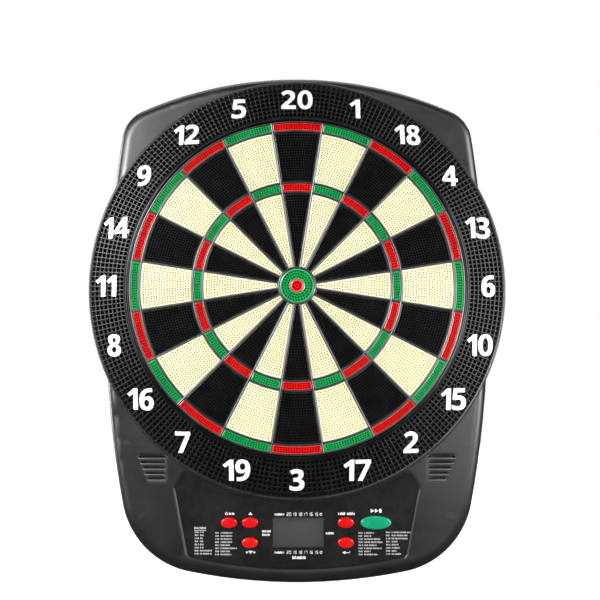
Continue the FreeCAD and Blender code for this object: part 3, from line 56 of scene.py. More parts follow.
# radii of the four inner spider rings
BULL_RING, TREBLE_IN, TREBLE_OUT, DOUBLE_IN = 21.8, 112.4, 124.3, 186.8
DOUBLE_OUT = 197.0
GAP = 1.35  # from the centre of a web to the side of a segment

# depths
FACE = 37.0  # front of the segments
FLANGE_FRONT, FLANGE_BACK = 23.6, 21.4
FOOT_BACK = 18.0


# ---------------------------------------------------------------- mesh helpers


class Shape:
    """Vertices and faces of one piece. Every face has a material index and a smooth flag."""

    def __init__(self):
        self.verts, self.faces, self.mats, self.smooth = [], [], [], []

    def vert(self, x, z, d):
        self.verts.append((x, z, d))
        return len(self.verts) - 1

    def loop(self, points, d):
        return [self.vert(x, z, d) for x, z in points]

    def face(self, ids, mat=0, smooth=True):
        self.faces.append(tuple(ids))
        self.mats.append(mat)
        self.smooth.append(smooth)

    def bridge(self, first, second, mat=0, smooth=True):
        """Joins two closed loops of equal length with quads."""
        for i in range(len(first)):
            j = (i + 1) % len(first)
            self.face((first[i], first[j], second[j], second[i]), mat, smooth)

    def stack(self, loops, mat=0, smooth=True, flip=False):
        """Bridges each loop to the next. Flip turns the faces over."""
        for near, far in zip(loops, loops[1:]):
            if flip:
                self.bridge(near, far, mat, smooth)
            else:
                self.bridge(far, near, mat, smooth)

    def add(self, other, degrees=0.0):
        """Copies another shape in, turned clockwise about the bull as seen from the front."""
        base = len(self.verts)
        cos, sin = math.cos(math.radians(degrees)), math.sin(math.radians(degrees))
        for x, z, d in other.verts:
            self.verts.append((x * cos + z * sin, -x * sin + z * cos, d))
        for ids in other.faces:
            self.faces.append(tuple(base + i for i in ids))
        self.mats += other.mats
        self.smooth += other.smooth

    def build(self, name, materials, body, replaces=None):
        mesh = bpy.data.meshes.new(name)
        places = [(x * MM, -d * MM, z * MM) for x, z, d in self.verts]
        mesh.from_pydata(places, [], self.faces)
        mesh.polygons.foreach_set("material_index", self.mats)
        mesh.polygons.foreach_set("use_smooth", self.smooth)
        mesh.validate()
        mesh.update()
        mesh.set_sharp_from_angle(angle=math.radians(SHARP_ANGLE))
        for material in materials:
            mesh.materials.append(MATERIALS[material])
        obj = bpy.data.objects.new(name, mesh)
        scene.collection.objects.link(obj)
        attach(obj, body)
        if replaces:
            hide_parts(replaces)


def polar(radius, angle):
    """A point from the top, clockwise by the angle in radians."""
    return radius * math.sin(angle), radius * math.cos(angle)


def ring_points(radius, count, start=0.0):
    return [polar(radius, start + 2 * math.pi * i / count) for i in range(count)]


def ring_around(x, z, radius, count, start=0.0):
    return [(x + px, z + pz) for px, pz in ring_points(radius, count, start)]


def lathe(profile, count):
    """A closed profile of (radius, depth) turned about the bull. Its inside is on its right."""
    shape = Shape()
    loops = [shape.loop(ring_points(r, count), d) for r, d in profile]
    shape.stack(loops + loops[:1])
    return shape


def rounded(points, corners, radius):
    """The polygon with the listed corners cut to small arcs."""
    out = []
    for i, point in enumerate(points):
        if i not in corners:
            out.append(point)
            continue
        before, corner, after = (
            Vector(points[i - 1]), Vector(point), Vector(points[(i + 1) % len(points)])
        )
        back, ahead = before - corner, after - corner
        start = corner + back.normalized() * min(radius, 0.45 * back.length)
        end = corner + ahead.normalized() * min(radius, 0.45 * ahead.length)
        for t in (0.0, 0.33, 0.67, 1.0):
            spot = start * (1 - t) ** 2 + corner * (2 * t * (1 - t)) + end * t**2
            out.append((spot.x, spot.y))
    return out


# ---------------------------------------------------------------- materials


class Graph:
    """The node tree of a new material, with short ways to add nodes."""

    def __init__(self, name):
        self.material = bpy.data.materials.new(name)
        self.material.use_nodes = True
        self.tree = self.material.node_tree
        self.tree.nodes.clear()

    def node(self, kind, inputs=None, **settings):
        """Adds a node. Inputs are keyed by name or index and hold a value or a socket."""
        node = self.tree.nodes.new("ShaderNode" + kind)
        for key, value in settings.items():
            setattr(node, key, value)
        for key, value in (inputs or {}).items():
            if isinstance(value, bpy.types.NodeSocket):
                self.tree.links.new(value, node.inputs[key])
            else:
                node.inputs[key].default_value = value
        return node

    def math(self, operation, first, second, clamp=False):
        inputs = {0: first, 1: second}
        return self.node("Math", inputs, operation=operation, use_clamp=clamp).outputs[0]

    def ramp(self, source, low, high, to=(0.0, 1.0)):
        """Maps low..high of the source onto the two values of to."""
        inputs = {"Value": source, "From Min": low, "From Max": high, "To Min": to[0], "To Max": to[1]}
        return self.node("MapRange", inputs, clamp=True).outputs["Result"]

    def noise(self, place, scale, detail, roughness):
        inputs = {"Scale": scale, "Detail": detail, "Roughness": roughness, "Vector": place}
        return self.node("TexNoise", inputs).outputs["Fac"]

    def mapped(self, place, **inputs):
        return self.node("Mapping", {**inputs, "Vector": place}).outputs[0]

    def mix(self, factor, first, second):
        # inputs 6 and 7 and output 2 are the colour sockets of the node
        inputs = {"Factor": factor, 6: first, 7: second}
        return self.node("Mix", inputs, data_type="RGBA").outputs[2]


def linear(rgb):
    """A linear colour with alpha from sRGB values of 0 to 255."""
    out = []
    for value in rgb:
        value = value / 255.0
        out.append(value / 12.92 if value <= 0.04045 else ((value + 0.055) / 1.055) ** 2.4)
    return tuple(out) + (1.0,)


def scaled(colour, factor, lift=0.0):
    return tuple(min(1.0, c * factor + lift) for c in colour[:3]) + (1.0,)


def scratch_mask(graph, place):
    """Hairlines stretched in two directions, showing only in patches."""
    lines = []
    for turn, scale in ((0.5, (40.0, 40.0, 1500.0)), (-0.35, (1500.0, 60.0, 35.0))):
        stretched = graph.mapped(place, Rotation=(0.0, turn, 0.0), Scale=scale)
        line = graph.noise(stretched, scale=1.0, detail=2.0, roughness=0.4)
        lines.append(graph.ramp(line, low=0.66, high=0.72))
    either = graph.math("MAXIMUM", *lines)
    patches = graph.ramp(graph.noise(place, 18.0, detail=2.0, roughness=0.5), low=0.45, high=0.7)
    return graph.math("MULTIPLY", either, patches)


def edge_mask(graph, place):
    """Convex edges, worn unevenly."""
    pointiness = graph.node("NewGeometry").outputs["Pointiness"]
    edge = graph.ramp(pointiness, low=0.52, high=0.62)
    uneven = graph.noise(place, 120.0, detail=3.0, roughness=0.6)
    return graph.math("MULTIPLY", edge, graph.ramp(uneven, low=0.25, high=0.6, to=(0.35, 1.0)))


MATERIALS = {}


def surface(
    name,
    rgb,
    rough=0.45,
    tone=0.10,  # strength of the blotches
    tone_scale=55.0,
    grain=1800.0,  # scale of the fine noise
    bump=0.12,
    bump_mm=0.05,
    cells=False,  # adds a cell pattern to the relief
    scratch=0.25,
    wear=0.25,  # how far the edges turn to wear_rgb
    wear_rgb=None,
    metal=0.0,
    coat=0.0,
    sheen=0.0,
    sub=0.0,  # subsurface weight
    spec=0.5,
    alpha=1.0,
    stretch=None,  # scale of the fine noise along each axis
    round_mm=0.0,  # radius of edges rounded by shading alone
):
    """Moulded or rolled material: blotches, fine grain, hairline scratches and worn edges."""
    graph = Graph(name)
    place = graph.node("TexCoord").outputs["Object"]
    base = linear(rgb)
    blotch = graph.noise(place, tone_scale, detail=4.0, roughness=0.55)
    grain_place = graph.mapped(place, Scale=stretch) if stretch else place
    fine = graph.noise(grain_place, grain, detail=2.0, roughness=0.6)
    scratches = scratch_mask(graph, place) if scratch > 0 else None

    blotches = graph.ramp(blotch, low=0.32, high=0.68)
    colour = graph.mix(blotches, scaled(base, 1.0 - tone), scaled(base, 1.0 + tone, lift=0.002))
    specks = graph.ramp(fine, low=0.35, high=0.75, to=(0.0, 0.35 * tone + 0.02))
    colour = graph.mix(specks, colour, scaled(base, 1.5, lift=0.01))
    edge = edge_mask(graph, place)
    worn = linear(wear_rgb) if wear_rgb else scaled(base, 1.6, lift=0.05)
    colour = graph.mix(graph.math("MULTIPLY", edge, wear), colour, worn)
    if scratches:
        share = graph.math("MULTIPLY", scratches, 0.18 * scratch)
        colour = graph.mix(share, colour, scaled(base, 1.3, lift=0.08))

    roughness = graph.math("ADD", graph.ramp(blotch, low=0.3, high=0.7, to=(-0.05, 0.05)), rough)
    fine_part = graph.ramp(fine, low=0.3, high=0.7, to=(-0.04, 0.06))
    roughness = graph.math("ADD", roughness, fine_part)
    if scratches:
        share = graph.math("MULTIPLY", scratches, 0.15 * scratch)
        roughness = graph.math("ADD", roughness, share)
    share = graph.math("MULTIPLY", edge, 0.08 * wear)
    roughness = graph.math("SUBTRACT", roughness, share, clamp=True)

    height = fine
    if cells:
        voronoi = graph.node("TexVoronoi", {"Scale": grain, "Vector": place})
        cell_part = graph.math("MULTIPLY", voronoi.outputs["Distance"], 0.8)
        height = graph.math("ADD", cell_part, graph.math("MULTIPLY", fine, 0.4))
    if scratches:
        share = graph.math("MULTIPLY", scratches, 0.5 * scratch)
        height = graph.math("SUBTRACT", height, share)
    relief = {"Strength": bump, "Distance": bump_mm * MM, "Height": height}
    if round_mm:
        soft = graph.node("Bevel", {"Radius": round_mm * MM}, samples=8)
        relief["Normal"] = soft.outputs["Normal"]

    look = {
        "Base Color": colour,
        "Roughness": roughness,
        "Normal": graph.node("Bump", relief).outputs["Normal"],
        "Metallic": metal,
        "Specular IOR Level": spec,
        "Coat Weight": coat,
        "Coat Roughness": 0.12,
        "Sheen Weight": sheen,
        "Alpha": alpha,
    }
    if sub > 0:
        look["Subsurface Weight"] = sub
        look["Subsurface Radius"] = (1.0, 0.8, 0.5)
        look["Subsurface Scale"] = 0.0012
    shader = graph.node("BsdfPrincipled", look)
    graph.node("OutputMaterial", {"Surface": shader.outputs["BSDF"]})
    MATERIALS[name] = graph.material


# segments: the flat faces, the bores of their holes, coloured darker than the faces as painted shade,
# and their bevelled edges, coloured lighter than the faces as painted highlight
FLAT = dict(grain=1600, bump=0.10)
BORED = dict(rough=0.6, grain=1600, bump=0.10, wear=0.0, scratch=0.0)
BEVELLED = dict(grain=1600, bump=0.08)
DEEP = dict(rough=0.55, grain=1600, bump=0.06, wear=0.0, spec=0.05)
GREY_WEAR, RED_WEAR, GREEN_WEAR = (90, 90, 92), (255, 150, 140), (150, 225, 190)
surface("segment_black", (19, 19, 20), rough=0.30, tone=0.12, wear=0.12, wear_rgb=GREY_WEAR,
        spec=0.05, **FLAT)
surface("segment_cream", (249, 238, 188), rough=0.42, tone=0.05, tone_scale=30, wear=0.30,
        wear_rgb=(255, 250, 236), scratch=0.2, **FLAT)
surface("segment_red", (214, 1, 2), rough=0.30, spec=0.06, tone=0.07, wear=0.12,
        wear_rgb=RED_WEAR, **FLAT)
surface("segment_green", (0, 150, 70), rough=0.30, spec=0.08, tone=0.08, wear=0.18,
        wear_rgb=GREEN_WEAR, **FLAT)
# darker copies of the segment colours for the funnels and bores of the holes: painted shade inside the
# holes
surface("bore_black", (3, 3, 3), tone=0.2, spec=0.0, **BORED)
surface("bore_cream", (150, 134, 92), spec=0.1, **BORED)
# lighter copies of the segment colours for the bevelled edges: painted highlight
surface("edge_black", (26, 26, 27), rough=0.30, tone=0.12, wear=0.3, wear_rgb=GREY_WEAR,
        **BEVELLED)
surface("edge_cream", (255, 250, 228), rough=0.32, tone=0.04, wear=0.2, scratch=0.1, spec=0.7,
        **BEVELLED)
surface("edge_red", (236, 66, 56), rough=0.30, tone=0.06, wear=0.3, wear_rgb=RED_WEAR,
        spec=1.0, **BEVELLED)
surface("edge_green", (52, 176, 112), rough=0.30, tone=0.06, wear=0.3, wear_rgb=GREEN_WEAR,
        spec=1.0, **BEVELLED)
# darker copies of the red and green for the holes: painted shade; the deep ones serve the bulls
surface("bore_red_deep", (70, 0, 0), **DEEP)
surface("bore_green_deep", (0, 38, 16), **DEEP)
surface("bore_red", (120, 0, 0), spec=0.05, **BORED)
surface("bore_green", (0, 60, 26), spec=0.05, **BORED)

# spider, housing and catch ring
surface("spider_plastic", (28, 28, 30), rough=0.32, spec=1.0, coat=0.4, grain=1400, bump=0.08,
        wear=0.5, wear_rgb=(130, 130, 132))
surface("housing_plastic", (22, 22, 23), rough=0.33, tone=0.06, tone_scale=20, grain=1500,
        bump=0.16, bump_mm=0.06, cells=True, wear=0.15, scratch=0.35, round_mm=6.0)
surface("ring_plastic", (4, 4, 5), spec=0.30, rough=0.20, tone=0.08, grain=1500, bump=0.10,
        wear=0.35, wear_rgb=(140, 140, 142))
surface("ring_collar", (30, 30, 31), rough=0.30, tone=0.07, grain=1500, bump=0.10, wear=0.3,
        wear_rgb=(120, 120, 122))
# the pocket walls and floors, a shade darker than the rib tops as painted shade
surface("ring_pocket_shade", (3, 3, 4), rough=0.75, tone=0.15, grain=1200, bump=0.2, wear=0.0,
        scratch=0.0, spec=0.2)
surface("numeral_white", (246, 246, 246), rough=0.35, tone=0.02, tone_scale=40, grain=1500,
        bump=0.06, wear=0.0)
surface("rear_cover_plastic", (44, 44, 46), round_mm=1.4, rough=0.5, tone_scale=15, grain=900,
        bump=0.35, bump_mm=0.1, cells=True, wear=0.2, scratch=0.6)

# layers behind the segments
surface("mat_rubber", (30, 30, 31), rough=0.8, tone=0.12, grain=900, bump=0.3, wear=0.1,
        scratch=0.1, sheen=0.2)
surface("contact_film", (196, 192, 176), rough=0.25, tone=0.05, grain=600, bump=0.05, wear=0.0,
        scratch=0.3, coat=0.3)
surface("hardboard", (116, 84, 54), rough=0.75, tone=0.22, tone_scale=90, grain=700, bump=0.4,
        bump_mm=0.12, wear=0.3, scratch=0.2, stretch=(1.0, 1.0, 0.15))
surface("contact_metal", (186, 182, 172), rough=0.28, tone=0.08, grain=2200, bump=0.08,
        wear=0.2, metal=1.0, scratch=0.7)

# controls and electronics
surface("fascia_overlay", (8, 8, 9), spec=0.08, rough=0.36, tone=0.06, tone_scale=30,
        grain=2200, cells=True, scratch=0.35)
surface("circuit_board_green", (20, 74, 44), rough=0.35, tone=0.15, tone_scale=200, grain=900,
        bump=0.15, wear=0.3, wear_rgb=(180, 150, 90), scratch=0.2, coat=0.3)
surface("component_black", (28, 28, 30), rough=0.5, tone=0.15, grain=2500, bump=0.2, wear=0.4,
        wear_rgb=(150, 150, 150))
surface("keypad_silicone", (150, 152, 154), rough=0.7, tone=0.06, grain=900, bump=0.15,
        wear=0.1, scratch=0.1, sub=0.1)
BUTTON = dict(rough=0.24, tone=0.06, grain=1200, bump=0.04, wear=0.2, coat=0.6, sub=0.1,
              round_mm=2.4)
surface("button_red", (205, 0, 1), spec=0.15, **BUTTON)
surface("button_green", (0, 148, 104), spec=0.2, **BUTTON)
surface("speaker_frame", (26, 26, 27), rough=0.5, grain=1500, bump=0.15, wear=0.4,
        wear_rgb=(80, 80, 80), metal=0.6, scratch=0.4)
surface("cone_paper", (42, 40, 38), rough=0.9, tone=0.2, grain=1200, bump=0.5, bump_mm=0.1,
        wear=0.1, scratch=0.0, sheen=0.3)
surface("wire_insulation", (170, 24, 20), rough=0.4, tone=0.08, grain=900, bump=0.1, wear=0.1,
        scratch=0.1)
surface("screw_steel", (120, 122, 126), rough=0.32, tone=0.15, grain=2600, bump=0.15, wear=0.5,
        metal=1.0, scratch=0.8)
surface("lcd_glass", (88, 88, 87), rough=0.22, tone=0.04, tone_scale=40, grain=2500, bump=0.04,
        wear=0.1, scratch=0.1)
surface("window_clear", (40, 42, 44), rough=0.06, tone=0.03, grain=300, bump=0.01, wear=0.1,
        alpha=0.18, coat=0.4)

# printing and trim
PRINTED = dict(rough=0.5, tone=0.06, grain=2500, bump=0.10, wear=0.0, scratch=0.3)
surface("print_white", (236, 236, 236), **PRINTED)
surface("print_grey", (172, 173, 173), **PRINTED)
# lighter grey than the housing: painted highlight where the lower lip of each slot catches the light
surface("slot_lip_highlight", (74, 74, 75), rough=0.36, tone=0.06, grain=1500, bump=0.10,
        wear=0.4, wear_rgb=(140, 140, 142))
surface("lcd_ink", (68, 69, 68), rough=0.3, tone=0.05, grain=1500, bump=0.03, wear=0.0,
        scratch=0.0)

# the CAD pieces that wear each material; every other piece is segment black
PIECES = {
    "mat_rubber": ("rubber_mat", "wall_bumpers", "zebra_strips"),
    "contact_film": ("contact_film_front", "contact_film_rear", "film_spacer"),
    "hardboard": ("backing_board",),
    "housing_plastic": ("front_housing",),
    "numeral_white": ("numerals",),
    "rear_cover_plastic": ("rear_cover", "battery_door"),
    "contact_metal": ("battery_contacts",),
    "fascia_overlay": ("control_fascia",),
    "window_clear": ("lcd_window",),
    "lcd_glass": ("lcd_glass",),
    "circuit_board_green": ("circuit_board",),
    "component_black": ("board_components",),
    "keypad_silicone": ("keypad_mat",),
    "button_red": ("button_power", "button_up", "button_down", "button_select", "button_enter"),
    "button_green": ("button_next",),
    "speaker_frame": ("speaker",),
    "cone_paper": ("speaker_cone",),
    "screw_steel": ("film_clamp", "case_screws", "board_screws", "frame_screws", "board_fixings"),
    "wire_insulation": ("wiring",),
    "segment_red": ("inner_bull",),
    "segment_green": ("outer_bull",),
    "ring_plastic": ("catch_ring",),
    "spider_plastic": ("spider_frame",),
}


def dress_cad_pieces():
    material_of = {piece: name for name, pieces in PIECES.items() for piece in pieces}
    for name, node in NODES.items():
        material = MATERIALS[material_of.get(name, "segment_black")]
        if node.material_slots:
            for slot in node.material_slots:
                slot.material = material
        else:
            node.data.materials.append(material)


dress_cad_pieces()

# ---------------------------------------------------------------- perforated segments

HOLE_SIDES = 8
BORE = [(0.82, FACE - 0.6), (0.74, FACE - 5.5)]  # radius and depth below the mouth of a hole
FRONT_INSET = 0.85  # of the flat front from the side of a segment
BEVEL = [(0.52, FACE - 0.10), (0.24, FACE - 0.34), (0.0, FACE - 0.80)]  # inset and depth
HIGHLIGHT_EDGE_SLOT = 3  # material index of the bevels, which take a lighter colour as painted highlight
CORNER = 0.8  # corner radius of a segment
FLANGE_OVERHANG = 0.55
FLANGE_GAP = 0.45  # from the centre of a web to the side of a flange
FOOT_RADIUS = 2.2
OUTER, INNER = -1, -2  # owners of outline points; points of a hole belong to its number


def sector_outline(r_in, r_out, gap, inset, steps_in, steps_out):
    """A sector centred on the top, clockwise seen from the front.

    Its straight sides are parallel to the web lines.
    """
    side = gap + inset
    half_in = math.radians(9.0) - math.asin(side / (r_in + inset))
    half_out = math.radians(9.0) - math.asin(side / (r_out - inset))
    points = []
    for i in range(steps_out + 1):
        points.append(polar(r_out - inset, -half_out + 2 * half_out * i / steps_out))
    for i in range(steps_in + 1):
        points.append(polar(r_in + inset, half_in - 2 * half_in * i / steps_in))
    corners = (0, steps_out, steps_out + 1, steps_out + steps_in + 1)
    return rounded(points, corners, max(0.25, CORNER - inset * 0.5))


def drill(shape, outlines, holes, mouth):
    """A flat perforated front, and the funnel and bore of each hole.

    The outlines are the outer one and, if there is one, the inner one. Returns their loops.
    """
    coords, edges, owners, starts = [], [], [], []

    def constrain(points, owner):
        base = len(coords)
        starts.append(base)
        coords.extend(Vector(point) for point in points)
        edges.extend((base + i, base + (i + 1) % len(points)) for i in range(len(points)))
        owners.extend([owner] * len(points))

    for outline, owner in zip(outlines, (OUTER, INNER)):
        constrain(outline, owner)
    for number, (x, z) in enumerate(holes):
        constrain(ring_around(x, z, mouth, HOLE_SIDES, math.atan2(x, z)), number)
    points, _, faces, origins, _, _ = delaunay_2d_cdt(coords, edges, [], 1, 1e-7)

    ids = [None] * len(coords)
    made = []
    for point, sources in zip(points, origins):
        made.append(shape.vert(point.x, point.y, FACE))
        for source in sources:
            ids[source] = made[-1]
    point_owners = [owners[sources[0]] if sources else None for sources in origins]
    for corners in faces:
        touched = {point_owners[i] for i in corners}
        only = touched.pop() if len(touched) == 1 else None
        if only is not None and only != OUTER:
            continue  # this face would close a hole
        area = 0.0
        for i in range(len(corners)):
            here, there = points[corners[i]], points[corners[(i + 1) % len(corners)]]
            area += here.x * there.y - there.x * here.y
        corners = [made[i] for i in corners]
        shape.face(corners if area > 0 else corners[::-1], 0, False)

    for (x, z), start in zip(holes, starts[len(outlines):]):
        last = ids[start : start + HOLE_SIDES]
        # the funnel takes material slot 1, and the bore and its floor take slot 2; both slots carry the
        # darker hole colours painted as shade
        for mat, (radius, d) in enumerate(BORE, 1):
            ring = shape.loop(ring_around(x, z, radius, HOLE_SIDES, math.atan2(x, z)), d)
            shape.bridge(last, ring, mat)
            last = ring
        shape.face(last[::-1], 2, False)
    return [ids[start : start + len(points)] for start, points in zip(starts, outlines)]


def foot(shape, x, z, flange_back=FLANGE_BACK):
    """A round stud behind the flange, sunk a little into it."""
    wide = ring_around(x, z, FOOT_RADIUS, 12)
    narrow = ring_around(x, z, FOOT_RADIUS - 0.4, 12)
    loops = [
        shape.loop(wide, flange_back + 0.3),
        shape.loop(wide, FOOT_BACK + 0.35),
        shape.loop(narrow, FOOT_BACK),
    ]
    shape.stack(loops)
    shape.face(loops[-1], 0, False)
    shape.face(loops[0][::-1], 0, False)


def segment(r_in, r_out, rows, feet, steps_in, steps_out, mouth, overhang=FLANGE_OVERHANG):
    """One scoring segment at the top of the board. Rows hold radius, hole count and pitch."""

    def outline(inset):
        return sector_outline(r_in, r_out, GAP, inset, steps_in, steps_out)

    shape = Shape()
    holes = []
    for r, count, pitch in rows:
        holes += [polar(r, (i - (count - 1) / 2) * pitch / r) for i in range(count)]
    bevel = drill(shape, [outline(FRONT_INSET)], holes, mouth)
    bevel += [shape.loop(outline(inset), d) for inset, d in BEVEL]
    shape.stack(bevel, HIGHLIGHT_EDGE_SLOT)
    side = shape.loop(outline(0.0), FLANGE_FRONT)
    flange = sector_outline(
        r_in - FLANGE_OVERHANG, r_out + overhang, FLANGE_GAP, 0.0, steps_in, steps_out
    )
    flange_loops = [shape.loop(flange, d) for d in (FLANGE_FRONT, FLANGE_BACK)]
    shape.stack([bevel[-1], side] + flange_loops)
    shape.face(flange_loops[-1], 0, False)
    for x, z in feet:
        foot(shape, x, z)
        if x:
            foot(shape, -x, z)
    return shape


def single_rows(r_first, r_last, count, margin=9.0, pitch=3.15):
    """Evenly spaced rows, each with as many holes as fit between the margins."""
    rows = []
    for k in range(count):
        r = r_first + (r_last - r_first) * k / (count - 1)
        rows.append((r, max(1, 1 + round((r * math.pi / 10 - margin) / pitch)), pitch))
    return rows


def build_segments(name, node, tone, shapes, turns):
    """One object of the shapes repeated at each turn, in place of the CAD node."""
    whole = Shape()
    for turn in turns:
        for shape in shapes:
            whole.add(shape, turn)
    # the bores, and the funnels of black segments, take a darker copy of the face colour as painted
    # shade
    face, bore_shade = "segment_" + tone, "bore_" + tone
    funnel = bore_shade if tone == "black" else face
    # the bevels take a lighter copy of the face colour as painted highlight
    whole.build(name, [face, funnel, bore_shade, "edge_" + tone], node, replaces=node)


def build_scoring_segments():
    inner = segment(
        BULL_RING + GAP, TREBLE_IN - GAP, single_rows(25.6, 107.2, 27),
        feet=[(0, 50), (6, 80), (9, 103)], steps_in=4, steps_out=14, mouth=1.36,
    )
    outer = segment(
        TREBLE_OUT + GAP, DOUBLE_IN - GAP, single_rows(128.6, 182.0, 18),
        feet=[(10, 133), (0, 156), (16, 177)], steps_in=16, steps_out=24, mouth=1.36,
    )
    treble = segment(
        TREBLE_IN + GAP, TREBLE_OUT - GAP, [(r, 10, 3.12) for r in (115.75, 118.35, 120.95)],
        feet=[(11, 117.5)], steps_in=14, steps_out=16, mouth=1.0,
    )
    double = segment(
        DOUBLE_IN + GAP, DOUBLE_OUT, [(r, 17, 3.14) for r in (190.2, 192.55, 194.9)],
        feet=[(20, 190.8)], steps_in=24, steps_out=26, mouth=1.0, overhang=0.0,
    )
    for k, number in enumerate(ORDER):
        tone = "black" if k % 2 == 0 else "cream"
        name = "segment_%02d_perforated" % number
        build_segments(name, "single_%02d" % number, tone, [inner, outer], [WEDGE * k])
    for kind, shape in (("treble", treble), ("double", double)):
        for tone, start in (("red", 0), ("green", WEDGE)):
            node = kind + "_" + tone
            turns = [start + 2 * WEDGE * k for k in range(10)]
            build_segments(node + "_perforated", node, tone, [shape], turns)


def build_bull(
    node, tone, radius, rings, feet, bevel_scale, flange_radius, flange_front, flange_back,
    hole_radius=None, flange_hole_radius=None,
):
    """A round segment, with a hole through it if it has a hole radius.

    Rings hold radius, hole count and the angle of the first hole. The bevel scale widens the
    outer bevel.
    """
    sides, hole_sides = 96, 64
    shape = Shape()
    holes = []
    for r, count, start in rings:
        holes += ring_points(r, count, start)
    outlines = [ring_points(radius - FRONT_INSET * bevel_scale, sides)]
    if hole_radius:
        outlines.append(ring_points(hole_radius + FRONT_INSET, hole_sides))
    fronts = drill(shape, outlines, holes, mouth=1.12)

    bevel = fronts[:1]
    for inset, d in BEVEL:
        bevel.append(shape.loop(ring_points(radius - inset * bevel_scale, sides), d))
    shape.stack(bevel, HIGHLIGHT_EDGE_SLOT)
    outside = bevel[-1:]
    for r, d in (
        (radius, flange_front), (flange_radius, flange_front), (flange_radius, flange_back)
    ):
        outside.append(shape.loop(ring_points(r, sides), d))
    shape.stack(outside)

    if hole_radius:
        bevel = fronts[1:]
        for inset, d in BEVEL:
            bevel.append(shape.loop(ring_points(hole_radius + inset, hole_sides), d))
        shape.stack(bevel, HIGHLIGHT_EDGE_SLOT, flip=True)
        inside = bevel[-1:]
        for r, d in (
            (hole_radius, 23.8), (flange_hole_radius, 23.8), (flange_hole_radius, flange_back)
        ):
            inside.append(shape.loop(ring_points(r, hole_sides), d))
        shape.stack(inside, flip=True)
        back_hole = shape.loop(ring_points(flange_hole_radius, sides), flange_back)
        shape.stack([outside[-1], back_hole])
    else:
        shape.face(outside[-1], 0, False)
    for x, z in feet:
        foot(shape, x, z, flange_back)
    # the funnels and bores of the holes take a darker copy of the face colour as painted shade
    face, bull_hole_shade = "segment_" + tone, "bore_%s_deep" % tone
    # the bevels take a lighter copy of the face colour as painted highlight
    materials = [face, bull_hole_shade, bull_hole_shade, "edge_" + tone]
    shape.build(node + "_perforated", materials, node, replaces=node)


build_scoring_segments()
build_bull(
    "outer_bull", "green", radius=BULL_RING - GAP,
    rings=[(10.75, 20, 0.0), (14.0, 26, 0.12), (17.25, 32, 0.05)],
    feet=[(0, 15.4), (0, -15.4), (15.4, 0), (-15.4, 0)], bevel_scale=1.7,
    flange_radius=BULL_RING - FLANGE_GAP, flange_front=FLANGE_FRONT, flange_back=FLANGE_BACK,
    hole_radius=8.4, flange_hole_radius=9.6,
)
build_bull(
    "inner_bull", "red", radius=7.8, rings=[(3.95, 8, 0.39), (0.0, 1, 0.0)], feet=[(0, 0)],
    bevel_scale=1.8, flange_radius=9.0, flange_front=22.4, flange_back=20.4,
)

# ---------------------------------------------------------------- spider

WEB_BACK = 24.0
WEB_PROFILE = [  # offset from the web's centre line, depth
    (-0.92, WEB_BACK), (-0.92, 36.9), (-0.87, 37.25), (-0.72, 37.58), (-0.48, 37.83),
    (-0.17, 37.97), (0.17, 37.97), (0.48, 37.83), (0.72, 37.58), (0.87, 37.25),
    (0.92, 36.9), (0.92, WEB_BACK),
]
RIM_PROFILE = [  # radius, depth
    (197.3, 16.7), (197.3, 37.2), (197.42, 37.6), (197.75, 37.9), (198.2, 38.0),
    (198.6, 37.9), (198.95, 37.6), (199.2, 37.0), (199.4, 36.0), (199.4, 16.7),
]
WEB_END = 197.8  # radius at which the straight webs end, inside the rim
LUG_OUTLINE = [(-5, 198.8), (-5, 212), (5, 212), (5, 198.8)]
LUG_FRONT, LUG_BACK = 19.0, 17.0


def straight_web():
    web = Shape()
    ends = [[web.vert(x, z, d) for x, d in WEB_PROFILE] for z in (BULL_RING, WEB_END)]
    web.stack(ends)
    web.face(ends[0][::-1], 0, False)
    web.face(ends[1], 0, False)
    return web


def rim_lug():
    """A flat tab outside the rim."""
    lug = Shape()
    outline = rounded(LUG_OUTLINE, (1, 2), 3.0)
    front, back = lug.loop(outline, LUG_FRONT), lug.loop(outline, LUG_BACK)
    lug.bridge(back, front)
    lug.face(front, 0, False)
    lug.face(back[::-1], 0, False)
    return lug


def build_spider():
    spider = Shape()
    for radius, count in ((BULL_RING, 96), (TREBLE_IN, 200), (TREBLE_OUT, 200), (DOUBLE_IN, 200)):
        spider.add(lathe([(radius + offset, d) for offset, d in WEB_PROFILE], count))
    spider.add(lathe(RIM_PROFILE, 240))
    web, lug = straight_web(), rim_lug()
    for k in range(20):
        spider.add(web, WEDGE / 2 + WEDGE * k)
    for k in range(10):
        spider.add(lug, WEDGE / 2 + 2 * WEDGE * k)
    spider.build("spider_rounded_webs", ["spider_plastic"], "cabinet",
                 replaces="spider_frame")


build_spider()

# ---------------------------------------------------------------- catch ring

COLS, ROWS = 256, 8
GRID_IN, GRID_OUT = 204.9, 246.4
CONE_R, CONE_D = 204.2, 36.6  # radius and depth at the inner edge of the cone
SLOPE = (CONE_D - 25.2) / (246.0 - CONE_R)
OVAL = 2.4  # how much further the outer edge reaches at the top and the bottom
CROWN = 0.45  # height of the rib tops above the cone
HALF_RIB = 0.76
RIB_ROUND = ((0.24, 0.06), (0.48, 0.25), (HALF_RIB, 0.60))  # inset, drop below the rib top
POCKET_INSET = HALF_RIB + 0.12
POCKET_DEPTH, POCKET_BACK = 6.0, 22.6


def cone(r):
    """Depth of the sloping face of the ring."""
    return CONE_D - (r - CONE_R) * SLOPE


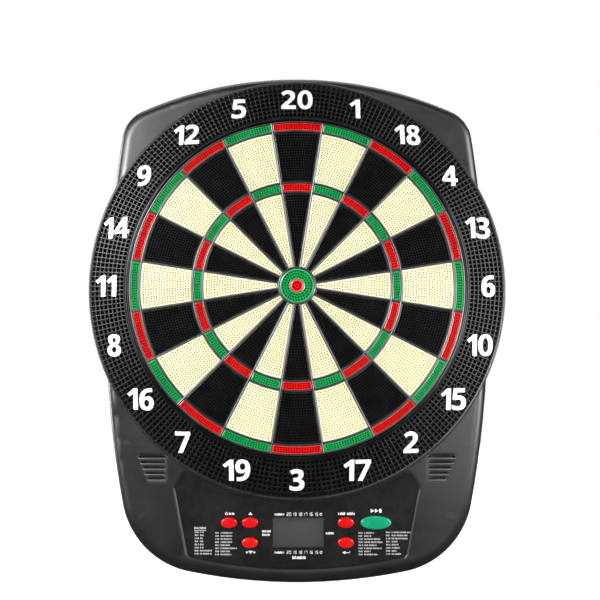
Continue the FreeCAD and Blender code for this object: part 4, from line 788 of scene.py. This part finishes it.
INNER_LIP = [  # radius, depth
    (199.6, 22.0), (199.6, 35.9), (199.8, 36.7), (200.15, 37.3), (200.6, 37.75),
    (201.2, 37.97), (202.2, 38.0), (202.85, 37.85), (203.3, 37.5), (203.7, 36.9),
    (204.1, cone(204.1) + 0.02),
]
OUTER_COLLAR = [  # radius, depth
    (246.8, 25.8), (247.3, 26.05), (247.9, 25.95), (248.45, 25.6), (248.9, 25.05),
    (249.25, 24.35), (249.45, 23.4), (249.5, 22.0),
]


def oval(r, angle):
    """Radius with the outer rows stretched towards the top and the bottom."""
    share = min(max((r - GRID_IN) / (GRID_OUT - GRID_IN), 0.0), 1.0)
    return r + OVAL * share * share * math.cos(angle) ** 2


def add_cell(ring, corners, r0, r1, a0, a1):
    """The rounded ribs and the pocket inside one cell of the grid."""

    def inset_loop(inset, depth_at):
        loop = []
        for r, r_side, a, a_side in ((r0, 1, a0, 1), (r0, 1, a1, -1), (r1, -1, a1, -1), (r1, -1, a0, 1)):
            r = r + r_side * inset
            a = a + a_side * inset / r
            loop.append(ring.vert(*polar(oval(r, a), a), depth_at(r)))
        return loop

    def walls(near, far, mat, smooth):
        for i in range(4):
            j = (i + 1) % 4
            ring.face((near[j], near[i], far[i], far[j]), mat, smooth)

    last = corners
    for inset, drop in RIB_ROUND:
        loop = inset_loop(inset, lambda r: cone(r) + CROWN - drop)
        walls(last, loop, 0, True)
        last = loop
    middle = cone((r0 + r1) / 2)
    floor_depth = middle - min(POCKET_DEPTH, middle - POCKET_BACK)
    floor_loop = inset_loop(POCKET_INSET, lambda r: floor_depth)
    # the pocket walls and floor take material slot 1, the darker pocket colour painted as shade
    walls(last, floor_loop, 1, False)
    ring.face(floor_loop[::-1], 1, False)


def build_catch_ring():
    ring = Shape()
    angles = [2 * math.pi * i / COLS for i in range(COLS + 1)]
    radii = [GRID_IN + (GRID_OUT - GRID_IN) * j / ROWS for j in range(ROWS + 1)]

    def oval_loop(r, d):
        return ring.loop([polar(oval(r, a), a) for a in angles[:COLS]], d)

    lip = [ring.loop(ring_points(r, COLS), d) for r, d in INNER_LIP]
    ring.stack(lip)
    nodes = [oval_loop(r, cone(r) + CROWN) for r in radii]
    ring.bridge(nodes[0], lip[-1])
    for j in range(ROWS):
        for i in range(COLS):
            after = (i + 1) % COLS
            corners = [nodes[j][i], nodes[j][after], nodes[j + 1][after], nodes[j + 1][i]]
            add_cell(ring, corners, radii[j], radii[j + 1], angles[i], angles[i + 1])
    collar = nodes[-1:] + [oval_loop(r, d) for r, d in OUTER_COLLAR]
    ring.stack(collar, mat=2)
    ring.bridge(lip[0], collar[-1])
    ring.build("catch_ring_grid", ["ring_plastic", "ring_pocket_shade", "ring_collar"], "cabinet",
               replaces="catch_ring")


build_catch_ring()

# ---------------------------------------------------------------- raised marks

Layer = namedtuple("Layer", "back front chamfer")  # depths of a thin plate and its chamfer
PRINT = Layer(20.95, 21.06, 0.04)
LCD = Layer(18.85, 18.96, 0.03)


def plate(shape, outline, layer):
    """A thin plate, chamfered round its front. The outline runs either way round."""
    count = len(outline)
    area = sum(
        outline[i][0] * outline[(i + 1) % count][1] - outline[(i + 1) % count][0] * outline[i][1]
        for i in range(count)
    )
    points = [Vector(point) for point in (outline if area > 0 else outline[::-1])]
    top = []
    for i, point in enumerate(points):
        before = (point - points[i - 1]).normalized()
        after = (points[(i + 1) % count] - point).normalized()
        normal = Vector((-before.y - after.y, before.x + after.x))
        if normal.length > 1e-6:
            normal = normal.normalized()
        else:
            normal = Vector((-before.y, before.x))
        top.append(point + normal * layer.chamfer)
    loops = [
        shape.loop(points, layer.back),
        shape.loop(points, layer.front - layer.chamfer),
        shape.loop(top, layer.front),
    ]
    shape.stack(loops, smooth=False, flip=True)
    shape.face(loops[-1], 0, False)
    shape.face(loops[0][::-1], 0, False)


def box_outline(x0, x1, z0, z1, radius):
    r = min(radius, 0.45 * (x1 - x0), 0.45 * (z1 - z0))
    points = []
    for x, z, start in (
        (x1 - r, z1 - r, 0), (x0 + r, z1 - r, 90), (x0 + r, z0 + r, 180), (x1 - r, z0 + r, 270)
    ):
        for turn in (0, 45, 90):
            angle = math.radians(start + turn)
            points.append((x + r * math.cos(angle), z + r * math.sin(angle)))
    return points


def bar(shape, x0, x1, z0, z1, radius, layer=PRINT):
    plate(shape, box_outline(x0, x1, z0, z1, radius), layer)


BLOCK_WIDTHS = (1.05, 1.3, 0.85, 1.2, 1.45, 0.95, 1.1)
BLOCK_HEIGHTS = (1.0, 0.8, 0.92, 0.78, 1.0, 0.84)  # shares of the line height


def dashes(shape, x0, x1, z, height, seed):
    """A row of short blocks from x0 to x1, standing in for a line of small print."""
    x, k = x0, seed
    while x < x1 - 0.5:
        end = min(x + BLOCK_WIDTHS[(k * 5 + seed) % 7], x1)
        block = height * BLOCK_HEIGHTS[(k * 7 + seed * 3) % 6]
        bar(shape, x, end, z - height / 2, z - height / 2 + block, 0.2)
        x = end + (1.0 if (k + seed) % 5 == 4 else 0.32)
        k += 1


# lit bars of each figure: a top, b and c right, d bottom, e and f left, g middle
SEVEN = {
    0: "abcdef", 1: "bc", 2: "abged", 5: "afgcd", 6: "afgedc", 7: "abc", 8: "abcdefg", 9: "abcdfg"
}
DIGIT_WIDTH, DIGIT_STROKE, DIGIT_GAP = 2.35, 0.58, 0.06


def digit(shape, number, x, z, h):
    """A seven-bar figure of height h centred on x, z."""
    w, t, gap = DIGIT_WIDTH, DIGIT_STROKE, DIGIT_GAP
    for part in SEVEN[number]:
        if part in "agd":
            zc = {"a": z + h / 2 - t / 2, "g": z, "d": z - h / 2 + t / 2}[part]
            x0, x1 = x - w / 2 + t * 0.5 + gap, x + w / 2 - t * 0.5 - gap
            z0, z1 = zc - t / 2, zc + t / 2
        else:
            xc = x + w / 2 - t / 2 if part in "bc" else x - w / 2 + t / 2
            x0, x1 = xc - t / 2, xc + t / 2
            if part in "bf":
                z0, z1 = z + t * 0.5 + gap, z + h / 2 - t - gap
            else:
                z0, z1 = z - h / 2 + t + gap, z - t * 0.5 - gap
        bar(shape, x0, x1, z0, z1, 0.12)


def ribbon(shape, points, width):
    """A bent stripe along the points."""
    left, right = [], []
    points = [Vector(point) for point in points]
    for i, point in enumerate(points):
        along = (points[min(i + 1, len(points) - 1)] - points[max(i - 1, 0)]).normalized()
        across = Vector((-along.y, along.x)) * width / 2
        left.append(tuple(point + across))
        right.append(tuple(point - across))
    plate(shape, left + right[::-1], PRINT)


def build_slot_lips():
    """Five rounded bars on either side of the control panel, coloured lighter than the housing as a
    painted highlight.
    """
    half = 0.75
    lips = Shape()
    for k in range(5):
        z = -201.0 - 6.3 * k - 1.95
        for side in (-1, 1):
            x0, x1 = sorted((side * 154.4, side * (186.7 - 2.7 * k)))
            loops = []
            for inset, d in ((0.0, 21.9), (0.0, 22.05), (0.18, 22.33), (0.5, 22.5)):
                outline = box_outline(
                    x0 + inset, x1 - inset, z - half + inset, z + half - inset, half
                )
                loops.append(lips.loop(outline, d))
            lips.stack(loops, flip=True)
            lips.face(loops[-1])
            lips.face(loops[0][::-1], 0, False)
    lips.build("sound_slot_lips", ["slot_lip_highlight"], "cabinet")


def build_display_marks():
    """The ruled lines of the display."""
    thick, thin, upright = 0.2, 0.14, 0.16  # half widths of the lines
    marks = Shape()

    def across(z, half, x0=-28.6, x1=31.4):
        bar(marks, x0, x1, z - half, z + half, 0.1, LCD)

    def up(x, half, z0, z1):
        bar(marks, x - half, x + half, z0, z1, 0.1, LCD)

    for z, half in ((-279.6, thick), (-297.0, thick), (-275.4, thin), (-301.0, thin)):
        across(z, half)
    for k in range(9):
        for z0, z1 in ((-279.3, -272.0), (-305.2, -297.3)):
            up(-21.6 + 6.26 * k, upright, z0, z1)
    for x in (-21.6, 14.6):
        up(x, thick, -296.7, -279.9)
    for z in (-285.4, -291.2):
        across(z, thin, x0=15.0, x1=31.0)
    marks.build("display_marks", ["lcd_ink"], "cabinet")


def build_display_legend():
    """Print above, below and beside the display."""
    legend = Shape()
    for z, height in ((-267.6, 4.0), (-311.2, 3.6)):
        dashes(legend, -26.0, -15.2, z - 0.1, 2.5, seed=2)
        for x, number in zip((-9.5, -3.2, 3.3, 9.5, 15.8, 22.1), (20, 19, 18, 17, 16, 15)):
            digit(legend, number // 10, x - 1.45, z, height)
            digit(legend, number % 10, x + 1.45, z, height)
        angles = [math.radians(a) for a in range(0, 351, 30)]
        circle = [(28.1 + 1.25 * math.cos(a), z + 1.25 * math.sin(a)) for a in angles]
        ribbon(legend, circle, width=0.7)
    dashes(legend, -5.5, 10.6, -317.2, 3.4, seed=1)
    dashes(legend, -40.7, -30.9, -287.1, 2.5, seed=1)
    dashes(legend, -40.7, -32.0, -291.1, 2.5, seed=3)
    dashes(legend, 33.7, 43.5, -289.4, 2.6, seed=2)
    legend.build("print_display_legend", ["print_white"], "cabinet")


def build_key_symbols():
    keys = Shape()
    # open circle with a short upright bar, and a word to its right
    circle = []
    for degrees in range(40, 321, 28):
        dx, dz = polar(1.35, math.radians(degrees))
        circle.append((-82.6 + dx, -267.0 + dz))
    ribbon(keys, circle, width=0.65)
    bar(keys, -82.95, -82.25, -266.7, -264.9, 0.2)
    dashes(keys, -79.8, -73.5, -266.9, 2.6, seed=4)
    # triangles pointing up and down, the lower one between two dots
    plate(keys, [(-57.0, -268.4), (-52.2, -268.4), (-54.6, -265.1)], PRINT)
    plate(keys, [(-56.8, -309.6), (-51.6, -309.6), (-54.2, -313.0)], PRINT)
    bar(keys, -59.6, -57.6, -312.2, -310.3, 0.4)
    bar(keys, -50.8, -48.8, -312.2, -310.3, 0.4)
    # two words, and a bent arrow pointing left
    dashes(keys, 48.3, 57.0, -266.9, 3.0, seed=2)
    dashes(keys, 58.6, 67.4, -266.9, 3.0, seed=5)
    ribbon(keys, [(61.6, -309.6), (61.6, -311.6), (56.0, -311.6)], width=0.8)
    plate(keys, [(56.4, -309.8), (56.4, -313.2), (52.9, -311.5)], PRINT)
    # two triangles pointing right, and an upright bar
    for x in (86.4, 91.2):
        plate(keys, [(x, -261.3), (x, -266.0), (x + 4.4, -263.65)], PRINT)
    bar(keys, 96.4, 99.0, -265.9, -261.4, 0.4)
    keys.build("print_key_symbols", ["print_white"], "cabinet")


# columns of small print: first word from and to, second word from, top row z, row pitch,
# right end of the second word in each row
LISTS = (
    (-119.5, -114.7, -113.2, -288.1, 3.52,
     (-109.2, -109.2, -109.2, -109.2, -109.2, -109.2, -99.5, -99.5)),
    (-95.4, -91.0, -89.1, -288.9, 3.527,
     (-75.8, -75.8, -75.8, -75.8, -78.6, -69.6, -78.1, -76.4)),
    (71.9, 77.0, 78.5, -289.0, 3.51, (90.4, 86.8, 97.5, 99.7, 93.3, 98.7, 86.2, 93.9)),
    (104.1, 108.9, 110.6, -288.3, 3.54,
     (133.0, 129.5, 129.8, 117.2, 119.1, 119.9, 116.6, 121.2)),
)


def build_list_rows():
    """An underlined heading and four columns of small print."""
    lists = Shape()
    dashes(lists, -120.2, -106.3, -283.3, 2.6, seed=3)
    bar(lists, -120.2, -106.3, -286.5, -285.7, 0.3)
    for x0, x1, x2, z_top, pitch, ends in LISTS:
        for k, end in enumerate(ends):
            z = z_top - pitch * k
            dashes(lists, x0, x1, z, 1.9, seed=k)
            dashes(lists, x2, end, z, 1.9, seed=k + 2)
    lists.build("print_list_rows", ["print_grey"], "cabinet")


def build_door_ridges():
    """Finger ridges and an arrow on the battery door, raised towards the wall."""
    base = 0.22
    ridge, arrow = Layer(0.0, base - 0.04, 0.03), Layer(0.0, base - 0.06, 0.03)
    ridges = Shape()
    for k in range(5):
        bar(ridges, -144.0, -126.0, -249.6 - 2.2 * k, -248.6 - 2.2 * k, 0.5, ridge)
    plate(ridges, [(-139.0, -264.5), (-131.0, -264.5), (-135.0, -260.5)], arrow)
    # turn the plates to face the wall
    ridges.verts = [(x, z, base - d) for x, z, d in ridges.verts]
    ridges.faces = [ids[::-1] for ids in ridges.faces]
    ridges.build("door_finger_ridges", ["rear_cover_plastic"], "battery_door")


build_slot_lips()
build_display_marks()
build_display_legend()
build_key_symbols()
build_list_rows()
build_door_ridges()

# ---------------------------------------------------------------- edges of the CAD pieces


def soften(name, width_mm, angle):
    bevel = NODES[name].modifiers.new("edge", "BEVEL")
    bevel.width = width_mm * MM
    bevel.segments = 2
    bevel.limit_method = "ANGLE"
    bevel.angle_limit = math.radians(angle)
    bevel.harden_normals = False


soften("numerals", width_mm=0.25, angle=35.0)
soften("front_housing", width_mm=0.45, angle=55.0)

# ---------------------------------------------------------------- studio, in metres

CAMERA_TILT = math.radians(5.8)  # the camera looks up by this much
CAMERA_DISTANCE = 1.15
CAMERA_TARGET_Y = -0.038
FLOOR_HALF, FLOOR_Z = 30, -0.3485
WORLD_STRENGTH = 0.06  # how strongly the room lights the object


def aim(obj, direction):
    obj.rotation_mode = "QUATERNION"
    obj.rotation_quaternion = Vector(direction).to_track_quat("-Z", "Y")


def add_camera():
    data = bpy.data.cameras.new("camera")
    camera = bpy.data.objects.new("camera", data)
    scene.collection.objects.link(camera)
    cos, sin = math.cos(CAMERA_TILT), math.sin(CAMERA_TILT)
    camera.location = (0.0, CAMERA_TARGET_Y - CAMERA_DISTANCE * cos, -CAMERA_DISTANCE * sin)
    aim(camera, (0.0, cos, sin))
    data.sensor_width = 36.0
    data.lens = 58.386
    data.shift_x = 0.005
    data.shift_y = -0.02416667
    data.clip_start = 0.01
    data.clip_end = 50.0
    scene.camera = camera


def floor_material():
    """White that lights as a diffuse surface but mostly glows to the camera."""
    graph = Graph("floor_white")
    diffuse = graph.node("BsdfDiffuse", {"Color": (0.88, 0.88, 0.88, 1.0)})
    glow = graph.node("Emission", {"Strength": 1.32})
    camera_ray = graph.node("LightPath").outputs["Is Camera Ray"]
    glow_share = graph.math("MULTIPLY", camera_ray, 0.76)
    shader = graph.node("MixShader", {"Fac": glow_share, 1: diffuse.outputs[0], 2: glow.outputs[0]})
    graph.node("OutputMaterial", {"Surface": shader.outputs[0]})
    return graph.material


def add_floor():
    mesh = bpy.data.meshes.new("floor")
    signs = ((-1, -1), (1, -1), (1, 1), (-1, 1))
    corners = [(FLOOR_HALF * x, FLOOR_HALF * y, FLOOR_Z) for x, y in signs]
    mesh.from_pydata(corners, [], [(0, 1, 2, 3)])
    floor = bpy.data.objects.new("floor", mesh)
    scene.collection.objects.link(floor)
    floor.visible_glossy = False
    mesh.materials.append(floor_material())


def add_world():
    """A white room, at full strength only to the camera."""
    world = bpy.data.worlds.new("world")
    scene.world = world
    world.use_nodes = True
    tree = world.node_tree
    background = tree.nodes["Background"]
    background.inputs["Color"].default_value = (1.0, 1.0, 1.0, 1.0)
    path = tree.nodes.new("ShaderNodeLightPath")
    strength = tree.nodes.new("ShaderNodeMapRange")
    strength.inputs["To Min"].default_value = WORLD_STRENGTH
    strength.inputs["To Max"].default_value = 1.0
    tree.links.new(path.outputs["Is Camera Ray"], strength.inputs["Value"])
    tree.links.new(strength.outputs["Result"], background.inputs["Strength"])


def softbox(name, place, size, watts, target=(0, 0, 0), glossy=True, diffuse=True):
    data = bpy.data.lights.new(name, "AREA")
    data.shape = "RECTANGLE"
    data.size, data.size_y = size
    data.energy = watts
    obj = bpy.data.objects.new(name, data)
    obj.location = place
    aim(obj, Vector(target) - Vector(place))
    obj.visible_camera = False
    obj.visible_glossy = glossy
    obj.visible_diffuse = diffuse
    scene.collection.objects.link(obj)


add_camera()
add_floor()
add_world()

# a large front light for even colour, and a tall box close to the plane on either side
softbox("light_front", (0.0, -2.3, 0.15), size=(1.8, 0.9), watts=30, glossy=False)
softbox("light_edge_left", (-0.80, -0.15, 0.10), size=(0.2, 0.8), watts=12, glossy=False)
softbox("light_edge_right", (0.80, -0.15, 0.08), size=(0.2, 0.8), watts=10, glossy=False)
# boxes that only show as sheen
softbox("sheen_side_left", (-0.95, -0.50, 0.12), size=(0.5, 0.9), watts=12,
        target=(0, 0, 0.02), diffuse=False)
softbox("sheen_side_right", (0.98, -0.50, 0.14), size=(0.6, 0.9), watts=22,
        target=(0, 0, 0.02), diffuse=False)
softbox("sheen_left", (-1.12, -1.62, 0.64), size=(0.8, 0.5), watts=60,
        target=(-0.2, 0, 0.2), diffuse=False)
softbox("sheen_right", (0.80, -1.75, -0.10), size=(0.4, 0.4), watts=9,
        target=(0.2, 0, -0.1), diffuse=False)
softbox("sheen_keys", (0.0, -0.52, 0.50), size=(0.8, 0.16), watts=0.8,
        target=(0, 0, -0.25), diffuse=False)
# lights above and behind the board
softbox("rim_top", (0.0, 0.30, 1.20), size=(1.6, 0.4), watts=7)
softbox("light_rear", (0.7, 2.2, 0.9), size=(1.8, 1.8), watts=90)
softbox("light_rear_side", (-1.5, 0.8, 0.2), size=(0.5, 1.2), watts=22)

scene.view_settings.view_transform = "Standard"
